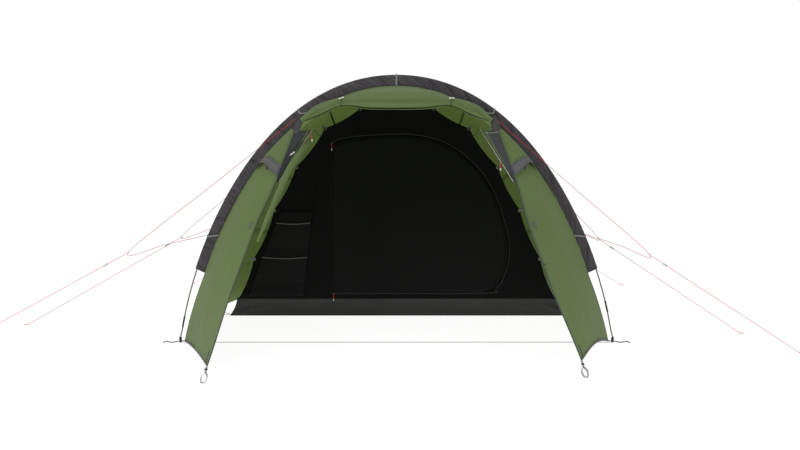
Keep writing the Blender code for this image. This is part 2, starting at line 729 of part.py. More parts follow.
def add_guys(look, runner_look):
    """The front and middle guys: a bridle through a ring, then the guy to the ground."""
    for name, (upper, knot, lower, end, runner_at) in GUYS.items():
        upper, knot, lower, end = Vector(upper), Vector(knot), Vector(lower), Vector(end)
        legs = [upper, upper.lerp(knot, 0.5), knot, knot.lerp(lower, 0.5), lower]
        add_cord(name.replace("guy", "bridle"), legs, look)
        along = (end - knot).normalized()
        start = knot + along * 0.012
        add_cord(name, [start, start.lerp(end, 0.5), end], look)
        add_runner(name.replace("guy", "runner"), knot + along * runner_at, along, runner_look)
    for name, (upper, end, runner_at) in REAR_GUYS.items():
        upper, end = Vector(upper), Vector(end)
        along = (end - upper).normalized()
        add_cord(name, [upper, upper.lerp(end, 0.5), end], look)
        add_runner(name.replace("guy", "runner"), upper + along * runner_at, along, runner_look)


# ---------------------------------------------------------------------- tent
def add_poles_and_sleeves():
    """The three bent poles, the front feet and the sleeves."""
    rod = material("pole", POLE_GREEN, 0.45, 0.2)
    add_front_crown(rod)
    socket = material("pole_socket", DARK_METAL, 0.40, 0.6)
    add_front_leg("front_pole_leg_left", -1, socket)
    add_front_leg("front_pole_leg_right", 1, socket)
    add_whole_pole("middle_pole", MIDDLE, rod)
    add_whole_pole("rear_pole", REAR, rod)
    plastic = material("foot_plastic", BLACK, 0.60)
    add_foot("front_foot_left", -1, plastic)
    add_foot("front_foot_right", 1, plastic)
    dark = material("sleeve_fabric", CHARCOAL, 0.80)
    add_front_sleeve(dark)
    add_sleeve("middle_sleeve", MIDDLE, dark)
    add_sleeve("rear_sleeve", REAR, dark)


def add_fly_and_porch():
    """The outer tent's panels, the porch wings and the rolled door."""
    green = material("fly_fabric", GREEN, 0.75)
    deep = material("fly_fabric_inside", INNER_GREEN, 0.75)
    grey = material("patch_fabric", PATCH_GREY, 0.80)
    for word, side in (("left", -1), ("right", 1)):
        add_bay("fly_porch_" + word, FRONT, MIDDLE, side, deep, 5)
        add_bay("fly_sleeping_" + word, MIDDLE, REAR, side, deep, 6)
        add_wing("wing_" + word, side, green)
        add_hood("vent_hood_" + word, side, green)
        add_strut("vent_strut_" + word, side, grey)
        add_vent_mesh("vent_mesh_" + word, side, grey)
    add_fly_rear(green)
    add_lintel(green)
    add_door_roll(green)
    add_side_roll(green)
    light = material("toggle_plastic", LIGHT_GREY, 0.50)
    for name, (centre, direction) in TOGGLES.items():
        add_toggle(name, centre, direction, light)


def add_inner_tent():
    """The black inner tent with its floor, door and pockets."""
    black = material("inner_fabric", BLACK, 0.85)
    add_inner_front(black, black)
    add_inner_door(black)
    add_inner_shell(black)
    add_pockets(material("pocket_mesh", BLACK, 0.90))
    add_groundsheet(material("floor_fabric", CHARCOAL, 0.55))


def add_zip_sliders():
    """Sliders of the inner door and of the porch door's two zips."""
    red = material("zip_pull", RED, 0.60)
    front = INNER_Y - 0.0075
    add_slider("inner_zip_top", -0.490, front, 1.297, 0.054, red)
    add_slider("inner_zip_bottom", -0.480, front, 0.1625, 0.054, red)
    for word, side, share in (("left", -1, 0.07), ("right", 1, 0.62)):
        top, _, low = mesh_corners(side)
        place = top.lerp(low, share)
        add_slider("porch_zip_" + word, place.x - side * 0.010, place.y - 0.016, place.z, 0.050, red)


def build_tent():
    """Build every piece of the tent."""
    clear_scene()
    add_poles_and_sleeves()
    add_fly_and_porch()
    add_inner_tent()
    add_zip_sliders()
    add_ground_straps(material("webbing", LIGHT_GREY, 0.80))
    add_guys(material("guy_cord", RED, 0.60), material("runner_plastic", LIGHT_GREY, 0.50))


build_tent()
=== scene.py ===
"""Cloth, cords, fittings and finishes of a tunnel tent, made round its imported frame.

Metres, +Z up, the tent's front toward -Y. Run it as a script in Blender.
"""
import math
from collections import namedtuple

import bmesh
import bpy
from mathutils import Matrix, Vector, noise


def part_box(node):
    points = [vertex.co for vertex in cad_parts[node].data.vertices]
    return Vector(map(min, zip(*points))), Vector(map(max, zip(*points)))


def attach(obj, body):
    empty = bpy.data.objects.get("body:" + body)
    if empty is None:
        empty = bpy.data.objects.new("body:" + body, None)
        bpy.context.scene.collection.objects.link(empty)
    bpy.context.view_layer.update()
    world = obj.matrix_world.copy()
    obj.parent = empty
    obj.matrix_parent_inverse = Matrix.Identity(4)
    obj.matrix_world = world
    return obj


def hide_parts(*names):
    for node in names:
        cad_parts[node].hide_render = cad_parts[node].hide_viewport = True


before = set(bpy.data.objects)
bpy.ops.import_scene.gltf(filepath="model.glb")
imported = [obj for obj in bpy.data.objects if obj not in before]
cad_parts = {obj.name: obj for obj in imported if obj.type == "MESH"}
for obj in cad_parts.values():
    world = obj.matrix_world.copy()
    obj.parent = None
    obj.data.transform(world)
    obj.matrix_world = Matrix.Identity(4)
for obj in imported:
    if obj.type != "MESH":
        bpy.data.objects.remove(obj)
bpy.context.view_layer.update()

# Angle in degrees under which an edge is shaded smooth; at this one every edge is.
ALL_SMOOTH = 180

bl_info = {
    "name": "Tunnel Tent",
    "version": (1, 0, 0),
    "blender": (4, 5, 0),
    "location": "3D View > Sidebar > Tent",
    "description": "Makes the visible pieces of a tunnel tent round its frame",
    "category": "Object",
}

# ---------------------------------------------------------------- dimensions
Hoop = namedtuple("Hoop", "half height y sleeve_end")
FRONT_Y = (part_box("front_foot_left")[0].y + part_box("front_foot_left")[1].y) / 2
MIDDLE_Y = (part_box("middle_pole")[0].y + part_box("middle_pole")[1].y) / 2
REAR_Y = (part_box("rear_pole")[0].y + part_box("rear_pole")[1].y) / 2
FRONT = Hoop(1.400, 1.7135, FRONT_Y, 0.480)
MIDDLE = Hoop(1.400, 1.7135, MIDDLE_Y, 0.480)
REAR = Hoop(1.150, 1.2000, REAR_Y, 0.330)
CROWN_HANDLE = 0.6263
SHOULDER = (0.9491, 0.3456)
SOCKET_HEIGHT = {-1: 0.140, 1: 0.240}

SLEEVE_HALF_WIDTH = 0.020
SLEEVE_RISE = 0.0100
UNDER_SLEEVE = 0.0130           # how far inside the pole's line a panel's edge runs
BAND_DEPTH = 0.0625
BAND_REACH = 0.0600
FLY_HEM = 0.040
FLY_SAG = 0.022
FLY_REAR_DEPTH = 0.560

WING_APEX = Vector((0.630, FRONT_Y - 0.100, 1.395))
WING_TIP = {-1: Vector((1.060, FRONT_Y - 0.970, 0.035)),
            1: Vector((1.068, FRONT_Y - 0.810, 0.035))}
WING_BULGE = 0.040
HEM_RISE = {-1: 0.018, 1: 0.045}
EDGE_BLOWN = 0.022              # how far both zip edges stand to the left of a straight line
PEG_LOOP_END = {-1: Vector((-1.030, FRONT_Y - 1.280, 0.002)),
                1: Vector((1.040, FRONT_Y - 1.130, 0.002))}
# The vent hood's reach as a share of the wing's height: at the band, less in the middle, more at the zip.
HOOD_REACH = (0.225, 0.040, 0.030)
HOOD_LIFT = 0.040
VENT_TOP = Vector((0.540, FRONT_Y - 0.035, 1.372))
VENT_END = 0.262                # share of the zip edge where the netting ends

INNER_Y = FRONT_Y + 1.220
WALL_FOOT = 0.130
INNER_OUTLINE = ((1.195, WALL_FOOT), (1.080, 0.434), (0.925, 0.800), (0.757, 1.122),
                 (0.541, 1.410), (0.280, 1.555), (0.0, 1.600))
INNER_REAR_SCALE = (0.800, 0.626)
INNER_REAR_DEPTH = 0.360
DOOR_OUTLINE = ((-0.497, 0.170), (0.640, 0.170), (0.745, 0.205), (0.815, 0.320), (0.846, 0.490),
                (0.816, 0.680), (0.741, 0.900), (0.613, 1.104), (0.440, 1.254), (0.252, 1.337),
                (0.0, 1.363), (-0.387, 1.337), (-0.497, 1.290))
DOOR_MIDDLE = Vector((0.16, 0.0, 0.76))
ZIP_GAP = 0.004

ROLL_Y = FRONT_Y - 0.128
PINCH_X = 0.345                  # where the toggles pinch the roll
DOOR_ROLL = ((-0.600, 1.430, 0.016), (-0.490, 1.492, 0.036), (-0.345, 1.546, 0.029), (-0.180, 1.548, 0.047),
             (0.0, 1.548, 0.053), (0.180, 1.548, 0.047), (0.345, 1.546, 0.029), (0.490, 1.492, 0.040),
             (0.600, 1.430, 0.016))
SIDE_ROLL = ((-0.548, FRONT_Y - 0.130, 1.290, 0.012), (-0.606, FRONT_Y - 0.225, 1.215, 0.022),
             (-0.666, FRONT_Y - 0.305, 1.110, 0.022), (-0.719, FRONT_Y - 0.385, 0.980, 0.020),
             (-0.777, FRONT_Y - 0.480, 0.830, 0.015), (-0.824, FRONT_Y - 0.560, 0.700, 0.008))
TOGGLES = {
    "toggle_left": (Vector((-0.345, ROLL_Y - 0.036, 1.568)), Vector((0.95, 0.0, 0.30))),
    "toggle_right": (Vector((0.345, ROLL_Y - 0.036, 1.568)), Vector((1.0, 0.0, 0.0))),
    "toggle_side": (Vector((-0.642, FRONT_Y - 0.262, 1.222)), Vector((0.80, 0.0, 0.60))),
}

# Where each guy starts on its sleeve, its ring, the bridle's other end, and the end on the ground.
GUYS = {
    "guy_front_left": ((-0.640, FRONT_Y - 0.082, 1.440), (-1.700, FRONT_Y - 0.140, 0.595),
                       (-1.222, FRONT_Y - 0.040, 0.697), (-2.780, FRONT_Y - 0.200, 0.003), 0.16),
    "guy_front_right": ((0.618, FRONT_Y - 0.082, 1.448), (1.599, FRONT_Y - 0.160, 0.583),
                        (1.222, FRONT_Y - 0.040, 0.700), (2.470, FRONT_Y - 0.420, 0.003), 0.11),
    "guy_middle_left": ((-0.975, MIDDLE_Y - 0.006, 1.172), (-1.596, MIDDLE_Y - 0.240, 0.603),
                        (-1.228, MIDDLE_Y - 0.010, 0.700), (-2.633, MIDDLE_Y - 0.575, 0.003), 0.12),
    "guy_middle_right": ((0.975, MIDDLE_Y - 0.006, 1.172), (1.476, MIDDLE_Y - 0.340, 0.597),
                         (1.228, MIDDLE_Y - 0.010, 0.700), (2.335, MIDDLE_Y - 0.950, 0.003), 0.12),
}
REAR_GUYS = {
    "guy_rear_left": ((-0.860, REAR_Y + 0.004, 0.745), (-1.907, REAR_Y + 0.230, 0.003), 0.45),
    "guy_rear_right": ((0.860, REAR_Y + 0.004, 0.745), (2.075, REAR_Y + 0.110, 0.003), 0.45),
}


# ------------------------------------------------------------ user's settings
def colour_property(name, description, default):
    """Return a colour that the user can change."""
    return bpy.props.FloatVectorProperty(
        name=name, description=description, default=default, subtype="COLOR", size=3, min=0.0, max=1.0)


def length_property(name, description, default):
    """Return a length in metres that the user can change."""
    return bpy.props.FloatProperty(
        name=name, description=description, default=default, min=0.0, subtype="DISTANCE", unit="LENGTH")


class TentSizes(bpy.types.PropertyGroup):
    """Sizes of the tent's soft pieces and small fittings."""
    cloth: length_property("Cloth", "Thickness of the coated cloth", 0.0009)
    weave: length_property("Weave", "Distance between the cloth's heavier threads", 0.0040)
    gather: length_property("Gather", "Height of the puckers in the front band", 0.0110)
    drape: length_property("Drape", "Height of the soft waves in the wings and the roof", 0.0060)
    webbing: length_property("Webbing", "Width of the straps at the guy points", 0.0110)
    piping: length_property("Piping", "Radius of the piping on the wings' edges", 0.0030)
    cord: length_property("Guy line", "Diameter of the guy lines", 0.0030)


class TentColours(bpy.types.PropertyGroup):
    """Colours of the tent's cloth and fittings."""
    green: colour_property("Green", "Outer tent and wings", (0.118, 0.168, 0.058))
    glow: colour_property("Glow", "Light that comes through the green cloth", (0.600, 0.720, 0.360))
    charcoal: colour_property("Charcoal", "Pole sleeves", (0.044, 0.040, 0.044))
    grey: colour_property("Grey", "Reinforcements and hood rims", (0.100, 0.100, 0.106))
    black: colour_property("Black", "Inner tent", (0.0038, 0.0043, 0.0040))
    tray: colour_property("Tray", "Groundsheet", (0.042, 0.041, 0.043))
    pole: colour_property("Pole", "Poles", (0.150, 0.180, 0.130))
    webbing: colour_property("Webbing", "Straps and tabs", (0.260, 0.260, 0.250))
    red: colour_property("Red", "Guy lines and zip pulls", (0.540, 0.022, 0.022))


def sizes():
    """Return the sizes that the user has set."""
    return bpy.context.scene.tent_sizes


def colours():
    """Return the colours that the user has set."""
    return bpy.context.scene.tent_colours


# ---------------------------------------------------------------- shader kit
class Value:
    """A number in a material; arithmetic on it adds Math nodes."""

    def __init__(self, look, socket):
        self.look = look
        self.socket = socket

    def maths(self, operation, first, second=0.0):
        return self.look.node("ShaderNodeMath", {"operation": operation}, {0: first, 1: second})

    def __add__(self, other):
        return self.maths("ADD", self, other)

    def __sub__(self, other):
        return self.maths("SUBTRACT", self, other)

    def __rsub__(self, other):
        return self.maths("SUBTRACT", other, self)

    def __mul__(self, other):
        return self.maths("MULTIPLY", self, other)

    def __truediv__(self, other):
        return self.maths("DIVIDE", self, other)

    def __lt__(self, other):
        return self.maths("LESS_THAN", self, other)

    def __gt__(self, other):
        return self.maths("GREATER_THAN", self, other)

    def wave(self):
        """A sine of the value."""
        return self.maths("SINE", self)

    def size(self):
        """The value without its sign."""
        return self.maths("ABSOLUTE", self)

    def most(self, other):
        return self.maths("MAXIMUM", self, other)

    __radd__ = __add__
    __rmul__ = __mul__


class Look:
    """A material with one Principled shader, and the nodes that feed it."""

    def __init__(self, name, roughness=0.8, metallic=0.0, sheen=0.0, coat=0.0, shine=0.25):
        self.material = bpy.data.materials.new(name)
        self.material.use_nodes = True
        self.tree = self.material.node_tree
        self.shader = self.tree.nodes["Principled BSDF"]
        self.shader.inputs["Roughness"].default_value = roughness
        self.shader.inputs["Metallic"].default_value = metallic
        self.shader.inputs["Sheen Weight"].default_value = sheen
        self.shader.inputs["Coat Weight"].default_value = coat
        self.shader.inputs["Specular IOR Level"].default_value = shine

    def node(self, kind, settings=None, inputs=None, output=0):
        """Add a node with its settings and its sockets' values or links."""
        made = self.tree.nodes.new(kind)
        for key, value in (settings or {}).items():
            if key == "stops":
                for place, (position, colour) in zip(made.color_ramp.elements, value):
                    place.position = position
                    place.color = colour
            else:
                setattr(made, key, value)
        for key, value in (inputs or {}).items():
            if isinstance(value, Value):
                self.tree.links.new(value.socket, made.inputs[key])
            else:
                made.inputs[key].default_value = value
        return Value(self, made.outputs[output])

    def paint(self, socket, value):
        """Link a value to one of the shader's sockets."""
        self.tree.links.new(value.socket, self.shader.inputs[socket])

    def mix(self, share, first, second):
        """Return a colour between two colours."""
        return self.node("ShaderNodeMix", {"data_type": "RGBA"}, {0: share, 6: first, 7: second}, 2)

    def noise(self, place, scale, detail=2.0):
        """Return soft random values from 0 to 1."""
        return self.node("ShaderNodeTexNoise", {}, {"Vector": place, "Scale": scale, "Detail": detail})

    def object_place(self):
        """Return the point's place in the object, in metres."""
        return self.node("ShaderNodeTexCoord", {}, {}, 3)

    def stretched(self, place, scale):
        """Return a place scaled along each axis."""
        return self.node("ShaderNodeMapping", {}, {"Vector": place, "Scale": scale})

    def cloth_place(self):
        """Return the place on the cloth in metres, across and down."""
        return self.node("ShaderNodeUVMap", {"uv_map": "cloth"}, {})

    def across_and_down(self):
        """Return the two distances of the cloth's own coordinates."""
        place = self.cloth_place()
        across = self.node("ShaderNodeSeparateXYZ", {}, {0: place}, 0)
        down = self.node("ShaderNodeSeparateXYZ", {}, {0: place}, 1)
        return place, across, down

    def hem_distance(self):
        """Return how far a point is from the panel's edge, in metres."""
        return self.node("ShaderNodeAttribute", {"attribute_name": "hem"}, {}, 2)

    def bump(self, height, distance):
        """Raise the surface by a value."""
        raised = self.node("ShaderNodeBump", {}, {"Height": height, "Distance": distance})
        self.paint("Normal", raised)

    def see_through(self, share, colour):
        """Let some of the light behind the cloth through."""
        glow = self.node("ShaderNodeBsdfTranslucent", {}, {"Color": colour})
        out = self.tree.nodes["Material Output"]
        shaded = Value(self, self.shader.outputs[0])
        mixed = self.node("ShaderNodeMixShader", {}, {0: share, 1: shaded, 2: glow})
        self.tree.links.new(mixed.socket, out.inputs["Surface"])


def rgba(colour, strength=1.0):
    """Return a colour with alpha, made lighter or darker."""
    return tuple(min(c * strength, 1.0) for c in colour) + (1.0,)


def made_once(function):
    """Make a material on first use, and return the same one after that."""
    found = {}

    def wrapper(*values):
        key = (function.__name__, values)
        if key not in found:
            found[key] = function(*values).material
        return found[key]
    return wrapper


def thread_grid(across, down, pitch):
    """Return the height of a woven ground with a heavier thread each way."""
    turn = 2 * math.pi / pitch
    heavy = ((across * turn).wave().most((down * turn).wave()) - 0.86).most(0.0) * 5.0
    fine = (across * (turn * 4)).wave() * (down * (turn * 4)).wave()
    return heavy + fine * 0.25


def coated_cloth(name, colour, roughness, depth, glow_share, glow, stitched=True, sheen=0.03, pleats=0.0):
    """Coated ripstop cloth: soft creases painted a little darker as painted shade, stitched hems, light and
    dark drifts, and, when asked for, pleats with painted shade in their hollows and painted highlights on
    their ridges.
    """
    look = Look(name, roughness, sheen=sheen)
    place, across, down = look.across_and_down()
    drift = look.noise(place, 2.2, 3.0)
    crease = look.noise(look.stretched(place, (1.0, 0.70, 1.0)), 15.0, 4.0)
    shade = look.mix(drift, rgba(colour, 0.86), rgba(colour, 1.14))
    # Painted shade: the creases are painted a little darker.
    shade = look.mix(crease * 0.20, shade, rgba(colour, 0.84))
    threads = thread_grid(across, down, sizes().weave)
    shade = look.mix(threads * 0.07, shade, rgba(colour, 1.30))
    height = threads * 0.12 + crease * 0.9
    if pleats:
        pleat = look.noise(look.stretched(place, (1.0, 0.22, 1.0)), 34.0, 2.0)
        # Painted shade in the pleats' hollows and painted highlights on their ridges; the same noise sets the
        # bump.
        shade = look.mix((pleat - 0.50) * (4.0 * pleats), shade, rgba(colour, 0.30))
        shade = look.mix((0.47 - pleat) * (3.0 * pleats), shade, rgba(colour, 1.7))
        height = height - pleat * 3.0
    if stitched:
        hem = look.hem_distance()
        crossing = hem < 0.013
        shade = look.mix(crossing * 0.22, shade, rgba(colour, 0.50))
        dash = ((across + down) * 1250.0).wave() > -0.35
        line = ((hem - 0.0112).size() < 0.0010) * dash
        shade = look.mix(line * 0.55, shade, rgba(colour, 0.25))
        height = height + crossing * 0.8 - line * 0.6
    look.paint("Base Color", shade)
    look.paint("Roughness", crease * 0.16 + (roughness - 0.08))
    look.bump(height, depth)
    if glow_share:
        look.see_through(glow_share, rgba(glow))
    return look


@made_once
def green_cloth():
    """Return the look of the green cloth of the fly."""
    green = tuple(colours().green)
    return coated_cloth("green coated cloth", green, 0.62, 0.0011, 0.16, tuple(colours().glow))


@made_once
def roof_cloth():
    """Return the look of the roof's green cloth: the wings' green painted 1.5 times lighter to stand for the
    daylight that comes through it.
    """
    # Painted light: the fly's own green made lighter for the light through the roof.
    lighter = tuple(1.5 * value for value in colours().green)
    return coated_cloth("green roof cloth", lighter, 0.62, 0.0011, 0.44, tuple(colours().glow))


@made_once
def band_cloth():
    """Return the look of the dark cloth of the pole sleeves, with painted shade and painted highlights on its
    pleats.
    """
    charcoal = tuple(colours().charcoal)
    return coated_cloth("charcoal sleeve cloth", charcoal, 0.70, 0.0016, 0.0, (0, 0, 0), pleats=1.0)


@made_once
def grey_cloth():
    """Return the look of the grey cloth of the trims."""
    return coated_cloth("grey reinforcement cloth", tuple(colours().grey), 0.72, 0.0016, 0.0, (0, 0, 0))


@made_once
def black_cloth():
    """Breathable black cloth of the inner tent, a little lighter where the light rakes it."""
    look = Look("black inner cloth", 0.88, sheen=0.02, shine=0.12)
    place, across, down = look.across_and_down()
    drift = look.noise(place, 1.6, 3.0)
    crease = look.noise(look.stretched(place, (1.0, 0.5, 1.0)), 18.0, 4.0)
    black = tuple(colours().black)
    shade = look.mix(drift, rgba(black, 0.70), rgba(black, 1.35))
    shade = look.mix(thread_grid(across, down, sizes().weave) * 0.10, shade, rgba(black, 2.2))
    look.paint("Base Color", shade)
    look.paint("Roughness", crease * 0.15 + 0.78)
    look.bump(crease, 0.0012)
    return look


@made_once
def lit_black_cloth():
    """The black cloth of the door, its seams and the pocket panel, painted a shade greyer than the wall's to
    stand for the light from the left front that falls there.
    """
    look = Look("black door cloth", 0.86, sheen=0.02, shine=0.15)
    place, across, down = look.across_and_down()
    drift = look.noise(place, 1.3, 3.0)
    black = tuple(colours().black)
    # Painted light: the inner tent's black cloth made lighter than the wall's.
    shade = look.mix(drift, rgba(black, 0.95), rgba(black, 1.75))
    shade = look.mix(thread_grid(across, down, sizes().weave) * 0.10, shade, rgba(black, 2.4))
    look.paint("Base Color", shade)
    look.bump(look.noise(look.stretched(place, (1.0, 0.5, 1.0)), 16.0, 4.0), 0.0012)
    return look


@made_once
def tray_cloth():
    """The groundsheet's heavy cloth with a slight shine and a dark bottom edge."""
    look = Look("groundsheet cloth", 0.46)
    place, across, down = look.across_and_down()
    height = look.node("ShaderNodeSeparateXYZ", {}, {0: look.object_place()}, 2)
    crease = look.noise(look.stretched(place, (1.0, 0.6, 1.0)), 22.0, 5.0)
    tray = tuple(colours().tray)
    shade = look.mix(look.noise(place, 3.0, 3.0), rgba(tray, 0.80), rgba(tray, 1.15))
    shade = look.mix(height < 0.006, shade, rgba(tray, 0.12))
    look.paint("Base Color", shade)
    look.paint("Roughness", crease * 0.25 + 0.36)
    look.bump(crease + thread_grid(across, down, 0.0030) * 0.05, 0.0024)
    return look


@made_once
def net(name, red, green, blue, pitch, cover):
    """Netting: threads with open holes between them."""
    look = Look(name, 0.80)
    place, across, down = look.across_and_down()
    turn = math.pi / pitch
    threads = (((across + down) * turn).wave().size()).most(((across - down) * turn).wave().size())
    look.paint("Alpha", (threads > 0.80) * (1.0 - cover) + cover)
    colour = (red, green, blue)
    look.paint("Base Color", look.mix(look.noise(place, 8.0), rgba(colour, 0.8), rgba(colour, 1.2)))
    look.bump(threads, 0.0004)
    return look


@made_once
def webbing(strength):
    """Woven strap with ribs across it and a worn, lighter middle."""
    look = Look("webbing", 0.82, sheen=0.15)
    place, across, down = look.across_and_down()
    ribs = (down * (2 * math.pi / 0.0012)).wave()
    rows = (across * (2 * math.pi / 0.0024)).wave()
    colour = tuple(colours().webbing)
    # strength makes a lighter or darker copy of the strap for each piece: painted light and shade for the
    # light that reaches it.
    shade = look.mix(ribs * rows * 0.35 + 0.35, rgba(colour, strength), rgba(colour, 0.60 * strength))
    shade = look.mix(look.noise(place, 60.0, 3.0) * 0.4, shade, rgba(colour, 0.75 * strength))
    look.paint("Base Color", shade)
    look.bump(ribs * rows, 0.0004)
    return look


@made_once
def braid(red, green, blue):
    """Braided cord: crossing strands with a few darker flecks."""
    look = Look("braided cord", 0.62, sheen=0.1)
    place = look.object_place()
    strands = look.node("ShaderNodeTexWave", {"bands_direction": "DIAGONAL"},
                        {"Vector": place, "Scale": 160.0, "Distortion": 1.5}, 1)
    colour = (red, green, blue)
    shade = look.mix(strands, rgba(colour, 0.70), rgba(colour, 1.15))
    shade = look.mix(look.noise(place, 90.0, 2.0) > 0.66, shade, rgba(colour, 0.45))
    look.paint("Base Color", shade)
    look.bump(strands, 0.0004)
    return look


@made_once
def plastic(name, red, green, blue, roughness):
    """Moulded plastic with a fine grain and slight scuffs."""
    look = Look(name, roughness, coat=0.05)
    place = look.object_place()
    colour = (red, green, blue)
    grain = look.noise(place, 900.0, 2.0)
    scuff = look.noise(place, 55.0, 4.0)
    look.paint("Base Color", look.mix(scuff, rgba(colour, 0.86), rgba(colour, 1.10)))
    look.paint("Roughness", scuff * 0.22 + (roughness - 0.10))
    look.bump(grain, 0.0002)
    return look


@made_once
def pole_finish(name, low, high):
    """Wrapped fibre pole with faint length-wise streaks and a dark joint between two heights."""
    look = Look(name, 0.38, coat=0.15)
    place = look.object_place()
    height = look.node("ShaderNodeSeparateXYZ", {}, {0: place}, 2)
    streak = look.noise(look.stretched(place, (220.0, 220.0, 7.0)), 1.0, 3.0)
    pole = tuple(colours().pole)
    shade = look.mix(streak, rgba(pole, 0.75), rgba(pole, 1.20))
    joint = (height > low) * (height < high)
    shade = look.mix(joint, shade, (0.035, 0.036, 0.035, 1.0))
    look.paint("Base Color", shade)
    look.paint("Metallic", joint * 0.7)
    look.paint("Roughness", streak * 0.15 + 0.32)
    look.bump(streak, 0.0002)
    return look


@made_once
def zip_finish(name, tooth):
    """Zip tape with a row of teeth down its middle."""
    look = Look(name, 0.70)
    place, across, down = look.across_and_down()
    teeth = ((down * (2 * math.pi / 0.0040)).wave() > -0.2) * (across.size() < 0.0030)
    shade = look.mix(look.noise(place, 40.0), (0.012, 0.011, 0.011, 1.0), (0.024, 0.021, 0.020, 1.0))
    look.paint("Base Color", look.mix(teeth, shade, (tooth, tooth * 0.93, tooth * 0.86, 1.0)))
    look.bump(teeth, 0.0010)
    return look


@made_once
def metal(name, value, roughness):
    """Cast metal with brushed, slightly uneven shine."""
    look = Look(name, roughness, metallic=0.9)
    place = look.object_place()
    brushed = look.noise(look.stretched(place, (60.0, 60.0, 900.0)), 1.0, 3.0)
    look.paint("Base Color", look.mix(brushed, rgba((value,) * 3, 0.8), rgba((value,) * 3, 1.15)))
    look.paint("Roughness", brushed * 0.2 + (roughness - 0.1))
    look.bump(brushed, 0.0001)
    return look


# ------------------------------------------------------------------- helpers
def spread(first, last, count):
    """Return evenly spaced values from first to last."""
    return [first + (last - first) * i / (count - 1) for i in range(count)]


def ease(value):
    """Rise smoothly from 0 to 1."""
    value = min(max(value, 0.0), 1.0)
    return value * value * (3.0 - 2.0 * value)


def ripple(x, y, seed):
    """Return smooth noise of about -1 to 1 at a place on the cloth."""
    return noise.noise(Vector((x, y, seed * 7.31)))


def fold(x, y, seed):
    """Return sharp-crested folds, from 0 to 1."""
    return max(1.0 - abs(noise.noise(Vector((x, y, seed * 7.31)))) * 1.8, 0.0) ** 3


class Shape:
    """Points, faces and cloth coordinates of one piece while it is drawn."""

    def __init__(self):
        self.points = []
        self.faces = []
        self.cloth = []
        self.hem = []

    def rows(self, rows, across, down, hem=None, around=False, caps=False):
        """Skin rows of points. across and down hold each point's place on the cloth."""
        base = len(self.points)
        wide = len(rows[0])
        for i, row in enumerate(rows):
            self.points.extend(row)
            self.hem.extend(hem[i] if hem else [1.0] * wide)
        for i in range(len(rows) - 1):
            for j in range(wide if around else wide - 1):
                k = (j + 1) % wide
                a = base + i * wide
                b = a + wide
                self.faces.append((a + j, b + j, b + k, a + k))
                corners = ((i, j), (i + 1, j), (i + 1, j + 1), (i, j + 1))
                self.cloth.extend((across[r][c], down[r][c]) for r, c in corners)
        if caps:
            for i in (0, len(rows) - 1):
                self.faces.append(tuple(base + i * wide + j for j in range(wide)))
                self.cloth.extend((across[i][j], down[i][j]) for j in range(wide))

    def finish(self, name, look, body="tent", slot=None, replaces=(), solid=True, thickness=0.0, smooth=40):
        """Make the object, face it outwards and let it ride on its body."""
        mesh = bpy.data.meshes.new(name)
        mesh.from_pydata(self.points, [], self.faces)
        if solid:
            shape = bmesh.new()
            shape.from_mesh(mesh)
            layer = shape.loops.layers.uv.new("cloth")
            index = 0
            for face in shape.faces:
                for corner in face.loops:
                    corner[layer].uv = self.cloth[index]
                    index += 1
            bmesh.ops.recalc_face_normals(shape, faces=shape.faces)
            shape.to_mesh(mesh)
            shape.free()
        else:
            layer = mesh.uv_layers.new(name="cloth")
            layer.data.foreach_set("uv", [value for pair in self.cloth for value in pair])
        hem = mesh.attributes.new("hem", "FLOAT", "POINT")
        hem.data.foreach_set("value", self.hem)
        mesh.materials.append(look)
        mesh.shade_smooth()
        mesh.set_sharp_from_angle(angle=math.radians(smooth))
        made = bpy.data.objects.new(name, mesh)
        bpy.context.collection.objects.link(made)
        if thickness:
            wall = made.modifiers.new("Thickness", "SOLIDIFY")
            wall.thickness = thickness
            wall.offset = 0.0
        return settle(made, body, replaces)


def settle(made, body="tent", replaces=()):
    """Let a piece ride on its body, and hide the frame parts that it stands for."""
    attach(made, body)
    if replaces:
        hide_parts(*replaces)
    return made


def cloth_grid(surface, rows, columns, relief=None):
    """Return a sheet's points with the relief laid on, and its places in metres."""
    flat = [[surface(u, v) for u in spread(0.0, 1.0, columns)] for v in spread(0.0, 1.0, rows)]
    across = [[0.0] * columns for _ in range(rows)]
    down = [[0.0] * columns for _ in range(rows)]
    for i in range(rows):
        for j in range(1, columns):
            across[i][j] = across[i][j - 1] + (flat[i][j] - flat[i][j - 1]).length
    for i in range(1, rows):
        for j in range(columns):
            down[i][j] = down[i - 1][j] + (flat[i][j] - flat[i - 1][j]).length
    hem = []
    for i in range(rows):
        ends = [min(across[i][j], across[i][-1] - across[i][j], down[i][j], down[-1][j] - down[i][j])
                for j in range(columns)]
        hem.append(ends)
    if relief is None:
        return flat, across, down, hem
    raised = []
    for i in range(rows):
        row = []
        for j in range(columns):
            below = flat[min(i + 1, rows - 1)][j] - flat[max(i - 1, 0)][j]
            along = flat[i][min(j + 1, columns - 1)] - flat[i][max(j - 1, 0)]
            out = along.cross(below)
            out = out.normalized() if out.length > 1e-12 else Vector((0.0, -1.0, 0.0))
            u = j / (columns - 1)
            v = i / (rows - 1)
            row.append(flat[i][j] + out * relief(u, v, across[i][j], down[i][j]))
        raised.append(row)
    return raised, across, down, hem


def add_cloth(name, surface, rows, columns, look, relief=None, held="stretched", rests_on=(), **settings):
    points, across, down, hem = cloth_grid(surface, rows, columns, relief)
    shape = Shape()
    shape.rows(points, across, down, hem)
    thickness = settings.pop("thickness", sizes().cloth)
    made = shape.finish(name, look, solid=False, thickness=thickness, **settings)
    declare_cloth(made, max(row[-1] for row in across), max(down[-1]))
    return made


def declare_cloth(made, width, length):
    """Work out how large the sheet was cut; the result is not kept."""
    area = sum(face.area for face in made.data.polygons)
    area = min(max(area, width * length * 0.31), width * length)


